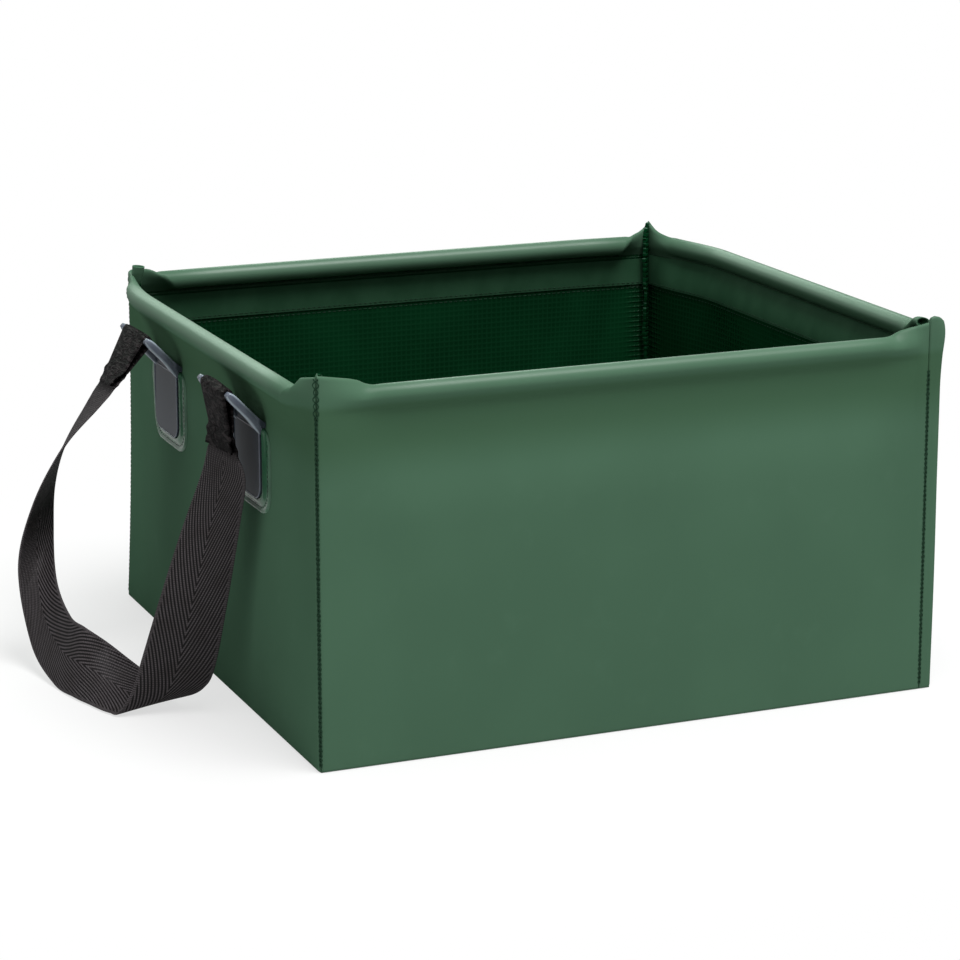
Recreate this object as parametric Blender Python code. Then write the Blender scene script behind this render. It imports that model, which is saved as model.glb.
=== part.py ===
"""Collapsible fabric bucket: an open, nearly square tarpaulin basin.

Four stiff rods in a rolled hem hold the rim open. Each wall is an upper and a lower half
with a crease between them, so the rim presses straight down: the long walls fold inward
and the short walls, which carry the handles, fold outward.

Units are metres, +Z is up, +X runs along the longer side and the front looks along -Y.
The origin is on the floor at the middle of the base.
"""
import math

import bmesh
import bpy
from mathutils import Vector

# Overall size of the cloth box, at the base
LENGTH = 0.350
DEPTH = 0.335
HALF_LENGTH = LENGTH / 2
HALF_DEPTH = DEPTH / 2

# Cloth. The tarpaulin is drawn a little thicker than the real 0.8 mm
CLOTH = 0.0010
BASE_THICKNESS = 0.0015
BASE_CORNER = 0.004
BASE_CORNER_STEPS = 3
GAP = 0.0003

# The fold: heights of the three hinge lines that all four walls share
BASE_FOLD_Z = 0.0020
RIM_FOLD_Z = 0.1816
CREASE_Z = (BASE_FOLD_Z + RIM_FOLD_Z) / 2
FOLD_SLIT = 0.00015
CORNER_CLEARANCE = 0.0004

# Rolled hem and its rods
HEM_RADIUS = 0.0055
HEM_CLOTH = 0.0011
ROD_RADIUS = 0.0040
RIM_TOP_Z = 0.1940
HEM_Z = RIM_TOP_Z - HEM_RADIUS
LONG_HEM_INSET = 0.0055
SHORT_HEM_OUTSET = 0.0045
LONG_HEM_STOP = 0.028
SHORT_HEM_STOP = 0.038
ROD_END_STEP = 0.004
HEM_SIDES = 24
ROD_SIDES = 20

# Flattened hem ends that rise to a small ear at each corner
EAR_TOP_Z = 0.2030
EAR_BOTTOM_Z = 0.1824
EAR_HALF_THICKNESS = 0.0013
EAR_INSET_X = 0.0020
EAR_INSET_Y = 0.0035
EAR_RINGS = 15
EAR_SIDES = 12
EAR_TURN_START = 0.19

# Facing band sewn inside the hem
FACING_HEIGHT = 0.0135
FACING_CLOTH = 0.0008
FACING_TOP_DROP = 0.005
FACING_END = 0.013

# Seam allowance inside each corner, folded flat against the long walls
SEAM_WIDTH = 0.009
SEAM_CLOTH = 0.0016
SEAM_BASE_RISE = 0.012
SEAM_CREASE_SLIT = 0.002
SEAM_RIM_DROP = 0.008

# Handle anchors on the short walls
ANCHOR_OFFSET_Y = 0.070
PATCH_WIDTH = 0.062
PATCH_BOTTOM_Z = 0.114
PATCH_TOP_Z = 0.160
PATCH_CLOTH = 0.0016
PATCH_CORNER = 0.014
PATCH_BORDER = 0.0105
PATCH_BOTTOM_BORDER = 0.007
PATCH_CORNER_STEPS = 6

# Moulded loop: a plate under the patch, two arms and the bar that carries the webbing
PLATE_THICKNESS = 0.0020
PLATE_TOP_Z = 0.159
ROOT_HEIGHT = 0.0028
BAR_OUT = 0.018
BAR_Z = 0.177
BAR_RADIUS = 0.0016
BAR_SIDES = 16
ARM_OFFSET_Y = 0.0222
ARM_WIDTH = 0.0050
ARM_THICKNESS = 0.0026

# Webbing handle
WEBBING_WIDTH = 0.038
WEBBING = 0.0014
WRAP_GAP = 0.00035
WRAP_RADIUS = BAR_RADIUS + WRAP_GAP + WEBBING / 2
WRAP_STEPS = 8
TAIL_LENGTH = 0.032
TAIL_CLOSES_AT = 0.010
TAIL_SPACING = 0.0020
STEPS_PER_SPAN = 3

# How the handle lies at rest, in millimetres, as (out from the wall, along Y, height).
# Each station is a point on one edge of the strap and a point that the other edge lies
# towards. The strap drops from the front bar, folds over on the floor, stands on its edge
# and climbs, turning over, to the rear bar.
STRAP_STATIONS_MM = (
    ((15.6, -51.0, 158.0), (14.8, -89.0, 158.0)),
    ((17.0, -51.5, 145.0), (13.0, -89.0, 145.0)),
    ((22.0, -55.0, 130.0), (10.5, -91.0, 132.0)),
    ((34.0, -54.5, 99.0), (10.0, -85.5, 108.0)),
    ((47.0, -55.0, 63.0), (14.0, -76.0, 69.0)),
    ((55.0, -51.5, 35.0), (20.0, -64.0, 28.0)),
    ((61.0, -48.5, 14.0), (25.0, -56.0, 14.0)),
    ((68.0, -45.5, 2.5), (31.0, -45.0, 7.5)),
    ((71.0, -39.5, 1.2), (39.0, -29.0, 7.5)),
    ((74.0, -32.0, 1.0), (49.0, -13.5, 13.0)),
    ((77.0, -22.0, 1.0), (61.0, -2.5, 24.0)),
    ((81.0, -8.0, 1.0), (70.0, 5.0, 35.0)),
    ((85.5, 16.0, 1.6), (73.0, 23.0, 38.0)),
    ((88.5, 50.0, 14.0), (72.0, 55.0, 47.0)),
    ((89.5, 69.5, 52.0), (65.0, 90.0, 66.0)),
    ((80.0, 69.5, 87.0), (60.0, 99.0, 90.0)),
    ((65.0, 57.5, 121.0), (54.0, 94.0, 114.0)),
    ((46.0, 52.0, 143.0), (42.0, 90.0, 137.0)),
    ((28.5, 51.0, 160.5), (28.0, 89.0, 159.0)),
)

OLIVE = (0.062, 0.128, 0.078, 1.0)
OLIVE_INSIDE = (0.010, 0.040, 0.016, 1.0)
OLIVE_FACING = (0.022, 0.054, 0.030, 1.0)
WEBBING_BLACK = (0.014, 0.012, 0.013, 1.0)
LOOP_GREY = (0.075, 0.090, 0.110, 1.0)
ROD_GREY = (0.240, 0.240, 0.230, 1.0)

ROUND_EDGE = math.radians(40)
EAR_EDGE = math.radians(50)
STRAP_EDGE = math.radians(35)

SIDES = {"left": -1.0, "right": 1.0}
LONG_WALLS = {"front": -1.0, "back": 1.0}
MATERIALS = {}


def clear_scene():
    for thing in list(bpy.data.objects):
        bpy.data.objects.remove(thing, do_unlink=True)


def make_material(name, colour, roughness, metallic=0.0):
    material = bpy.data.materials.new(name)
    material.use_nodes = True
    shader = material.node_tree.nodes["Principled BSDF"]
    shader.inputs["Base Color"].default_value = colour
    shader.inputs["Roughness"].default_value = roughness
    shader.inputs["Metallic"].default_value = metallic
    material.diffuse_color = colour
    MATERIALS[name] = material


def make_materials():
    make_material("tarpaulin", OLIVE, 0.55)
    make_material("tarpaulin_base", OLIVE_INSIDE, 0.35)
    make_material("facing", OLIVE_FACING, 0.60)
    make_material("seam_tape", OLIVE_INSIDE, 0.45)
    make_material("webbing", WEBBING_BLACK, 0.80)
    make_material("loop_plastic", LOOP_GREY, 0.25)
    make_material("stiffener", ROD_GREY, 0.45)


class Pivot:
    """An empty on a joint's axis. What moves with the joint is parented to it."""

    def __init__(self, name, place, parent=None):
        self.place = Vector(place)
        self.empty = bpy.data.objects.new(name, None)
        self.empty.empty_display_size = 0.02
        bpy.context.scene.collection.objects.link(self.empty)
        self.empty.location = self.place
        if parent is not None:
            self.empty.parent = parent.empty
            self.empty.location = self.place - parent.place


def add_piece(name, shape, material, pivot, smooth_angle=None):
    """Make one named object from a bmesh in world coordinates, on its pivot."""
    bmesh.ops.recalc_face_normals(shape, faces=shape.faces)
    bmesh.ops.translate(shape, verts=shape.verts, vec=-pivot.place)
    mesh = bpy.data.meshes.new(name)
    shape.to_mesh(mesh)
    shape.free()
    if smooth_angle is not None:
        mesh.shade_smooth()
        mesh.set_sharp_from_angle(angle=smooth_angle)
    mesh.materials.append(MATERIALS[material])
    piece = bpy.data.objects.new(name, mesh)
    bpy.context.scene.collection.objects.link(piece)
    piece.parent = pivot.empty
    return piece


def add_box(shape, low, high):
    """Add a box between two corners, given in any order."""
    low, high = (Vector(map(min, zip(low, high))), Vector(map(max, zip(low, high))))
    made = bmesh.ops.create_cube(shape, size=1.0)["verts"]
    bmesh.ops.scale(shape, verts=made, vec=high - low)
    bmesh.ops.translate(shape, verts=made, vec=(low + high) / 2)


def add_rings(shape, rings):
    """Skin rings of equal count, one after another, and close both ends."""
    made = [[shape.verts.new(point) for point in ring] for ring in rings]
    count = len(made[0])
    for near, far in zip(made, made[1:]):
        for index in range(count):
            after = (index + 1) % count
            shape.faces.new((near[index], near[after], far[after], far[index]))
    shape.faces.new(made[0])
    shape.faces.new(reversed(made[-1]))


def circle(centre, along, radius, sides):
    """Points of a circle about an axis that lies along X (0) or Y (1)."""
    across = Vector((0.0, 1.0, 0.0)) if along == 0 else Vector((1.0, 0.0, 0.0))
    up = Vector((0.0, 0.0, 1.0))
    points = []
    for step in range(sides):
        angle = 2 * math.pi * step / sides
        points.append(centre + radius * (math.cos(angle) * across + math.sin(angle) * up))
    return points


def make_base(pivot):
    shape = bmesh.new()
    low = (-HALF_LENGTH, -HALF_DEPTH, 0.0)
    high = (HALF_LENGTH, HALF_DEPTH, BASE_THICKNESS)
    add_box(shape, low, high)
    vertical = [
        edge
        for edge in shape.edges
        if abs(edge.verts[0].co.z - edge.verts[1].co.z) > BASE_THICKNESS / 2
    ]
    bmesh.ops.bevel(
        shape,
        geom=vertical,
        offset=BASE_CORNER,
        segments=BASE_CORNER_STEPS,
        profile=0.5,
        affect="EDGES",
    )
    add_piece("bottom_panel", shape, "tarpaulin_base", pivot)


def long_wall_pivots(base):
    """Base, crease and rim hinges of the front and back walls, which fold inward."""
    pivots = {}
    for wall, sign in LONG_WALLS.items():
        inner = sign * (HALF_DEPTH - CLOTH)
        outer = sign * HALF_DEPTH
        lower = Pivot(wall + "_base_fold", (0.0, inner, BASE_FOLD_Z), base)
        upper = Pivot(wall + "_crease_fold", (0.0, outer, CREASE_Z), lower)
        pivots[wall] = (lower, upper)
    return pivots


def short_wall_pivots(base):
    """Base and crease hinges of the left and right walls, which fold outward."""
    pivots = {}
    for wall, sign in SIDES.items():
        inner = sign * (HALF_LENGTH - CLOTH)
        outer = sign * HALF_LENGTH
        lower = Pivot(wall + "_base_fold", (outer, 0.0, BASE_FOLD_Z), base)
        upper = Pivot(wall + "_crease_fold", (inner, 0.0, CREASE_Z), lower)
        pivots[wall] = (lower, upper)
    return pivots


def make_half_walls(wall, low, high, pivots):
    """The lower and upper half of one wall, from the plan corners low and high."""
    spans = (
        ("lower", BASE_FOLD_Z + FOLD_SLIT, CREASE_Z - FOLD_SLIT),
        ("upper", CREASE_Z + FOLD_SLIT, RIM_FOLD_Z - FOLD_SLIT),
    )
    for (half, bottom, top), pivot in zip(spans, pivots):
        shape = bmesh.new()
        add_box(shape, (*low, bottom), (*high, top))
        add_piece(wall + "_wall_" + half, shape, "tarpaulin", pivot)


def make_walls(long_pivots, short_pivots):
    reach = HALF_LENGTH - CLOTH - CORNER_CLEARANCE
    for wall, sign in LONG_WALLS.items():
        low = (-reach, sign * HALF_DEPTH)
        high = (reach, sign * (HALF_DEPTH - CLOTH))
        make_half_walls(wall, low, high, long_pivots[wall])
    for wall, sign in SIDES.items():
        low = (sign * HALF_LENGTH, -HALF_DEPTH)
        high = (sign * (HALF_LENGTH - CLOTH), HALF_DEPTH)
        make_half_walls(wall, low, high, short_pivots[wall])


def make_facings(long_pivots, short_pivots):
    """The band sewn round the inside, from just under the rim fold."""
    top = RIM_FOLD_Z - FACING_TOP_DROP
    bottom = top - FACING_HEIGHT
    for wall, sign in LONG_WALLS.items():
        near = sign * (HALF_DEPTH - CLOTH - GAP)
        far = near - sign * FACING_CLOTH
        reach = HALF_LENGTH - FACING_END
        shape = bmesh.new()
        add_box(shape, (-reach, near, bottom), (reach, far, top))
        add_piece(wall + "_hem_facing", shape, "facing", long_pivots[wall][1])
    for wall, sign in SIDES.items():
        near = sign * (HALF_LENGTH - CLOTH - GAP)
        far = near - sign * FACING_CLOTH
        reach = HALF_DEPTH - FACING_END
        shape = bmesh.new()
        add_box(shape, (near, -reach, bottom), (far, reach, top))
        add_piece(wall + "_hem_facing", shape, "facing", short_pivots[wall][1])


def make_corner_seams(long_pivots):
    """Seam allowances: strips inside the corners, split where the walls crease."""
    spans = (
        ("lower", BASE_FOLD_Z + SEAM_BASE_RISE, CREASE_Z - SEAM_CREASE_SLIT),
        ("upper", CREASE_Z + SEAM_CREASE_SLIT, RIM_FOLD_Z - SEAM_RIM_DROP),
    )
    for wall, depth_sign in LONG_WALLS.items():
        for side, length_sign in SIDES.items():
            start = length_sign * (HALF_LENGTH - CLOTH - 2 * CORNER_CLEARANCE)
            end = start - length_sign * SEAM_WIDTH
            near = depth_sign * (HALF_DEPTH - CLOTH - GAP)
            far = near - depth_sign * SEAM_CLOTH
            for (half, bottom, top), pivot in zip(spans, long_pivots[wall]):
                shape = bmesh.new()
                add_box(shape, (start, near, bottom), (end, far, top))
                name = "corner_seam_" + wall + "_" + side + "_" + half
                add_piece(name, shape, "seam_tape", pivot)


def hem_line(wall):
    """(axis index, fixed plan coordinate, half length) of a wall's hem."""
    if wall in LONG_WALLS:
        across = LONG_WALLS[wall] * (HALF_DEPTH - LONG_HEM_INSET)
        return 0, across, HALF_LENGTH - LONG_HEM_STOP
    across = SIDES[wall] * (HALF_LENGTH + SHORT_HEM_OUTSET)
    return 1, across, HALF_DEPTH - SHORT_HEM_STOP


def plan_point(along, across, distance, height):
    if along == 0:
        return Vector((distance, across, height))
    return Vector((across, distance, height))


def make_hems(rim):
    """The rolled hem as an open sleeve, and the rod inside it."""
    for wall in (*LONG_WALLS, *SIDES):
        along, across, half = hem_line(wall)
        ends = [plan_point(along, across, s * half, HEM_Z) for s in (-1.0, 1.0)]
        outer = [circle(end, along, HEM_RADIUS, HEM_SIDES) for end in ends]
        bore_radius = HEM_RADIUS - HEM_CLOTH
        bore = [circle(end, along, bore_radius, HEM_SIDES) for end in reversed(ends)]
        sleeve = bmesh.new()
        rings = [[sleeve.verts.new(p) for p in ring] for ring in outer + bore]
        for near, far in zip(rings, rings[1:] + rings[:1]):
            for index in range(HEM_SIDES):
                after = (index + 1) % HEM_SIDES
                sleeve.faces.new((near[index], near[after], far[after], far[index]))
        name = wall + "_hem_sleeve"
        add_piece(name, sleeve, "tarpaulin", rim, ROUND_EDGE)
        rod_half = half - ROD_END_STEP
        ends = [plan_point(along, across, s * rod_half, HEM_Z) for s in (-1.0, 1.0)]
        rod = bmesh.new()
        add_rings(rod, [circle(end, along, ROD_RADIUS, ROD_SIDES) for end in ends])
        name = wall + "_stiffener_rod"
        add_piece(name, rod, "stiffener", rim, ROUND_EDGE)


def quadratic(start, control, end, share):
    return (
        start * (1 - share) ** 2
        + control * 2 * share * (1 - share)
        + end * share**2
    )


def make_rim_corners(rim):
    """Hem ends without a rod: flattened, drawn in and pinched up to an ear."""
    for wall, depth_sign in LONG_WALLS.items():
        for side, length_sign in SIDES.items():
            _, long_across, long_half = hem_line(wall)
            _, short_across, short_half = hem_line(side)
            start = Vector((length_sign * (long_half + GAP), long_across))
            end = Vector((short_across, depth_sign * (short_half + GAP)))
            corner_x = length_sign * (HALF_LENGTH - EAR_INSET_X)
            corner_y = depth_sign * (HALF_DEPTH - EAR_INSET_Y)
            rings = []
            for step in range(EAR_RINGS):
                share = step / (EAR_RINGS - 1)
                # a tight bend at the corner itself
                if share < 0.5:
                    control = Vector((corner_x, long_across))
                    centre = quadratic(
                        start, control, Vector((corner_x, corner_y)), 2 * share
                    )
                else:
                    control = Vector((short_across, corner_y))
                    centre = quadratic(
                        Vector((corner_x, corner_y)), control, end, 2 * share - 1
                    )
                pinch = 1 - abs(2 * share - 1)
                rings.append(ear_ring(centre, pinch, share, start, end))
            shape = bmesh.new()
            add_rings(shape, rings)
            name = "rim_corner_" + wall + "_" + side
            add_piece(name, shape, "tarpaulin", rim, EAR_EDGE)


def ear_ring(centre, pinch, share, start, end):
    """One ellipse across a rim corner: tube-like at the rods, a thin blade at the ear."""
    flat = pinch**0.5
    half_thickness = HEM_RADIUS + (EAR_HALF_THICKNESS - HEM_RADIUS) * flat
    top = RIM_TOP_Z + (EAR_TOP_Z - RIM_TOP_Z) * pinch**3
    bottom = HEM_Z - HEM_RADIUS + (EAR_BOTTOM_Z - HEM_Z + HEM_RADIUS) * pinch
    # the ring faces along X at the long hem, and turns to face along Y at the short one
    turned = (share - EAR_TURN_START) / (1 - 2 * EAR_TURN_START)
    turn = math.radians(90) * min(max(turned, 0.0), 1.0)
    toward_x = math.copysign(1.0, end.x - start.x)
    toward_y = math.copysign(1.0, end.y - start.y)
    ahead = Vector((toward_x * math.cos(turn), toward_y * math.sin(turn), 0.0))
    across = ahead.cross(Vector((0.0, 0.0, 1.0)))
    points = []
    for step in range(EAR_SIDES):
        angle = 2 * math.pi * step / EAR_SIDES
        height = (top + bottom) / 2 + (top - bottom) / 2 * math.sin(angle)
        aside = across * (half_thickness * math.cos(angle))
        points.append(Vector((centre.x, centre.y, height)) + Vector((aside.x, aside.y, 0)))
    return points


def patch_outline(width, bottom, top, corner):
    """(along Y, height) points of a patch with a round bottom, from top left to top right."""
    points = [(-width / 2, top)]
    for centre_y, first in ((-width / 2 + corner, 180), (width / 2 - corner, 270)):
        for step in range(PATCH_CORNER_STEPS + 1):
            angle = math.radians(first + 90 * step / PATCH_CORNER_STEPS)
            points.append(
                (centre_y + corner * math.cos(angle), bottom + corner * (1 + math.sin(angle)))
            )
    points.append((width / 2, top))
    return points


def extrude_outline(shape, sign, near, far, outline, centre_y):
    """A flat piece on a short wall, between two distances out from it."""
    rings = []
    for out in (near, far):
        x = sign * (HALF_LENGTH + out)
        rings.append([Vector((x, centre_y + y, z)) for y, z in outline])
    add_rings(shape, rings)


def make_anchor(side, end, sign, centre_y, pivot):
    """The sewn patch with its window, and the moulded loop whose plate fills the window."""
    outer = patch_outline(PATCH_WIDTH, PATCH_BOTTOM_Z, PATCH_TOP_Z, PATCH_CORNER)
    window_width = PATCH_WIDTH - 2 * PATCH_BORDER
    window_bottom = PATCH_BOTTOM_Z + PATCH_BOTTOM_BORDER
    window_corner = PATCH_CORNER - PATCH_BORDER / 2
    window = patch_outline(window_width, window_bottom, PATCH_TOP_Z, window_corner)
    patch = bmesh.new()
    extrude_outline(
        patch, sign, GAP, GAP + PATCH_CLOTH, outer + list(reversed(window)), centre_y
    )
    name = "anchor_patch_" + side + "_" + end
    add_piece(name, patch, "tarpaulin", pivot)

    plate_width = window_width - 2 * GAP
    plate_corner = window_corner - GAP
    outline = patch_outline(
        plate_width, window_bottom + GAP, PLATE_TOP_Z, plate_corner
    )
    loop = bmesh.new()
    extrude_outline(loop, sign, GAP, GAP + PLATE_THICKNESS, outline, centre_y)
    plate = add_piece("webbing_loop_" + side + "_" + end, loop, "loop_plastic", pivot)
    add_loop_arms(plate, sign, centre_y, pivot)


def add_loop_arms(plate, sign, centre_y, pivot):
    """Union the neck, the root block, the two arms and the bar with the plate."""
    root_low = PATCH_TOP_Z + GAP
    root = Vector((GAP + PLATE_THICKNESS / 2, root_low + ROOT_HEIGHT / 2))
    bar = Vector((BAR_OUT, BAR_Z))
    ahead = (bar - root).normalized()
    aside = Vector((-ahead.y, ahead.x)) * (ARM_THICKNESS / 2)
    reach = ARM_OFFSET_Y + ARM_WIDTH / 2
    near = sign * (HALF_LENGTH + GAP)
    far = sign * (HALF_LENGTH + GAP + PLATE_THICKNESS)
    shapes = []

    neck = bmesh.new()
    half_neck = PATCH_WIDTH / 2 - PATCH_BORDER - 2 * GAP
    low = (near, centre_y - half_neck, PLATE_TOP_Z - ROOT_HEIGHT / 2)
    high = (far, centre_y + half_neck, root_low + ROOT_HEIGHT / 2)
    add_box(neck, low, high)
    shapes.append(neck)

    block = bmesh.new()
    low = (near, centre_y - reach, root_low)
    high = (far, centre_y + reach, root_low + ROOT_HEIGHT)
    add_box(block, low, high)
    shapes.append(block)

    for arm_sign in (-1.0, 1.0):
        arm = bmesh.new()
        arm_y = centre_y + arm_sign * ARM_OFFSET_Y
        corners = (root - aside, root + aside, bar + aside, bar - aside)
        rings = []
        for edge in (-ARM_WIDTH / 2, ARM_WIDTH / 2):
            rings.append(
                [Vector((sign * (HALF_LENGTH + c.x), arm_y + edge, c.y)) for c in corners]
            )
        add_rings(arm, rings)
        shapes.append(arm)

    rod = bmesh.new()
    x = sign * (HALF_LENGTH + bar.x)
    rod_half = reach - GAP
    ends = [Vector((x, centre_y + s * rod_half, bar.y)) for s in (-1.0, 1.0)]
    add_rings(rod, [circle(end, 1, BAR_RADIUS, BAR_SIDES) for end in ends])
    shapes.append(rod)

    for number, shape in enumerate(shapes):
        name = plate.name + "_joined_" + str(number)
        joined = add_piece(name, shape, "loop_plastic", pivot)
        joined.hide_render = True
        joined.display_type = "WIRE"
        union = plate.modifiers.new("join", "BOOLEAN")
        union.operation = "UNION"
        union.solver = "EXACT"
        union.object = joined


def catmull_rom(points, index, share):
    """A smooth curve through hand-placed points, between index and index + 1."""
    before = points[max(index - 1, 0)]
    start = points[index]
    end = points[index + 1]
    after = points[min(index + 2, len(points) - 1)]
    square, cube = share * share, share**3
    return 0.5 * (
        2 * start
        + (end - before) * share
        + (2 * before - 5 * start + 4 * end - after) * square
        + (3 * start - before - 3 * end + after) * cube
    )


def strap_rows(sign):
    """(rear edge, front edge) along the leg of the handle, from bar to bar."""

    def place(out, y, z):
        return Vector((sign * (HALF_LENGTH + out), y, z))

    edges = [[], []]
    for station in STRAP_STATIONS_MM:
        rear, towards = (place(*(value / 1000 for value in point)) for point in station)
        edges[0].append(rear)
        edges[1].append(rear + (towards - rear).normalized() * WEBBING_WIDTH)
    rows = []
    spans = len(edges[0]) - 1
    for index in range(spans):
        for step in range(STEPS_PER_SPAN):
            share = step / STEPS_PER_SPAN
            rows.append(tuple(catmull_rom(edge, index, share) for edge in edges))
    rows.append((edges[0][-1], edges[1][-1]))
    return rows


def wrap_rows(sign, leg, anchor_y):
    """Rows round a bar, from the leg's side over the bar to its outer side, then the tail.

    leg holds the first rows of the leg, nearest the bar first.
    """
    bar = Vector((BAR_OUT, BAR_Z))
    middle = (leg[0][0] + leg[0][1]) / 2
    first = Vector((sign * middle.x - HALF_LENGTH, middle.z))
    down = (first - bar).normalized()
    # the leg passes the bar on the wall's side
    inward = Vector((-down.y, down.x))
    if inward.x > 0:
        inward = -inward
    half = [(edge.y - anchor_y) for edge in leg[0]]
    rows = []

    def row(place):
        x = sign * (HALF_LENGTH + place.x)
        return tuple(Vector((x, anchor_y + offset, place.y)) for offset in half)

    for step in range(WRAP_STEPS + 1):
        angle = math.pi * step / WRAP_STEPS
        rows.append(
            row(bar + WRAP_RADIUS * (math.cos(angle) * inward - math.sin(angle) * down))
        )
    tail = []
    travelled = (first - bar).length
    previous = middle
    for rear, front in leg:
        centre = (rear + front) / 2
        travelled += (centre - previous).length
        previous = centre
        if travelled > TAIL_LENGTH:
            break
        closing = min(travelled / TAIL_CLOSES_AT, 1.0)
        spacing = 2 * WRAP_RADIUS * (1 - closing) + TAIL_SPACING * closing
        aside = Vector((-inward.x * sign, 0.0, -inward.y)) * spacing
        tail.append((rear + aside, front + aside))
    return rows, tail


def add_ribbon(shape, rows, thickness):
    """A strap of even thickness whose two edges run through the rows."""
    rings = []
    for index, (rear, front) in enumerate(rows):
        before = rows[max(index - 1, 0)]
        after = rows[min(index + 1, len(rows) - 1)]
        ahead = (after[0] + after[1]) - (before[0] + before[1])
        normal = ahead.cross(front - rear).normalized() * (thickness / 2)
        rings.append((rear + normal, front + normal, front - normal, rear - normal))
    add_rings(shape, rings)
    bmesh.ops.triangulate(shape, faces=shape.faces)


def make_handle(side, sign, pivot):
    leg = strap_rows(sign)
    front_wrap, front_tail = wrap_rows(sign, leg, -ANCHOR_OFFSET_Y)
    rear_wrap, rear_tail = wrap_rows(sign, list(reversed(leg)), ANCHOR_OFFSET_Y)
    rows = list(reversed(front_tail)) + list(reversed(front_wrap))
    rows += leg + rear_wrap + rear_tail
    shape = bmesh.new()
    add_ribbon(shape, rows, WEBBING)
    add_piece("handle_" + side, shape, "webbing", pivot, STRAP_EDGE)


def main():
    clear_scene()
    make_materials()
    base = Pivot("base", (0.0, 0.0, 0.0))
    long_pivots = long_wall_pivots(base)
    short_pivots = short_wall_pivots(base)
    rim_place = (0.0, -(HALF_DEPTH - CLOTH), RIM_FOLD_Z)
    rim = Pivot("rim_fold", rim_place, long_pivots["front"][1])
    make_base(base)
    make_walls(long_pivots, short_pivots)
    make_facings(long_pivots, short_pivots)
    make_corner_seams(long_pivots)
    make_hems(rim)
    make_rim_corners(rim)
    for side, sign in SIDES.items():
        wall = short_pivots[side][1]
        for end, end_sign in LONG_WALLS.items():
            make_anchor(side, end, sign, end_sign * ANCHOR_OFFSET_Y, wall)
        bar_place = (sign * (HALF_LENGTH + BAR_OUT), 0.0, BAR_Z)
        swing = Pivot(side + "_handle_swing", bar_place, wall)
        make_handle(side, sign, swing)


main()
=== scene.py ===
"""Looks of a collapsible fabric bucket: coated cloth walls, a rolled rim and webbing handles.

Every soft piece is made in cloth coordinates of its wall: u runs along the wall, depth runs
inward from the wall's outer plane and z is height. place() turns them into the frame's
metres, with the rounded and sewn corners, so that neighbouring pieces share their edges.
"""
import math

import bmesh
import bpy
import numpy as np
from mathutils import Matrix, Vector


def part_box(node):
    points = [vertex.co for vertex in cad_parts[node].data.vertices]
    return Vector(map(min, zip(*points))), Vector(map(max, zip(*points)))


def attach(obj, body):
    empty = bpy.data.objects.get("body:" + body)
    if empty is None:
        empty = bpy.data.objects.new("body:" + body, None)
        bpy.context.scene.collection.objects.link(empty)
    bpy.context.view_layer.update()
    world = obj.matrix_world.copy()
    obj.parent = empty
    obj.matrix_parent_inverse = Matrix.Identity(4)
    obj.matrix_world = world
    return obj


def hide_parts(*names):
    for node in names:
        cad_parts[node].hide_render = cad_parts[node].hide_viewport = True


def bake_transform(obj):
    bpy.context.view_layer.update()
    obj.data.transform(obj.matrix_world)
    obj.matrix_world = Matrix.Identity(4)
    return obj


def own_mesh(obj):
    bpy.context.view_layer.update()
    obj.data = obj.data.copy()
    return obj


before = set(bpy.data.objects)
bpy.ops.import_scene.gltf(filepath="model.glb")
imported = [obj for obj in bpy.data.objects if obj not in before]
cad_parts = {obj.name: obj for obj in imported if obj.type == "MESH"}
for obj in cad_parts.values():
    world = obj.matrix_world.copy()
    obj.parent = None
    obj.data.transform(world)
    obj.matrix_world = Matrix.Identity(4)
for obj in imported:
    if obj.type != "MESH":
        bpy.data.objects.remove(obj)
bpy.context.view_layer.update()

MM = 0.001
PIECES = []

# Camera, where the photograph was taken from
CAMERA_PLACE = (-0.6593, -1.5273, 0.5264)
CAMERA_AZIMUTH = math.radians(-22.76)
CAMERA_ELEVATION = math.radians(14.61)
CAMERA_LENS_MM = 115.56
SENSOR_MM = 36.0

# Name, place, size, watts, colour, and whether the lamp shows in glossy surfaces
LAMPS = (
    ("key", (0.45, -1.05, 3.20), (2.0, 2.0), 185.0, (1.0, 1.0, 1.0), True),
    ("back_strip", (0.25, 2.40, 1.25), (2.0, 0.6), 21.0, (0.78, 1.0, 0.84), True),
    ("left_fill", (-2.0, 0.5, 1.1), (1.4, 1.4), 4.0, (0.9, 1.0, 0.92), False),
)
LAMP_TARGET = Vector((0, 0, 0.1))
WORLD_FILL = 0.42
# Distances over which the floor turns to pure white, and its whiteness near the object
FLOOR_FADE = (0.26, 0.60)
FLOOR_WHITE_NEAR = 0.66
FLOOR_STRETCH = (1.0, 1.35, 1.0)
FLOOR_REACH = 12.0

# The box that the frame gives
HALF_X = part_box("bottom_panel")[1].x
HALF_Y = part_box("bottom_panel")[1].y
HINGE_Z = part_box("front_wall_upper")[1].z
CREASE_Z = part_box("front_wall_lower")[1].z
HEM_LOW, HEM_TOP = (corner.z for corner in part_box("front_hem_sleeve"))
HEM_Z = (HEM_LOW + HEM_TOP) / 2
HEM_RADIUS = (HEM_TOP - HEM_LOW) / 2

CLOTH = 1.0 * MM

# Sewn corner: a rounded edge with a groove where the two walls meet
CORNER_RADIUS = 3.2 * MM
ARC_LENGTH = CORNER_RADIUS * math.pi / 4
GROOVE_DEPTH = 1.2 * MM
GROOVE_WIDTH = 1.4 * MM
POST_WIDTH = 16 * MM
BASE_EDGE = 1.6 * MM
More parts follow.
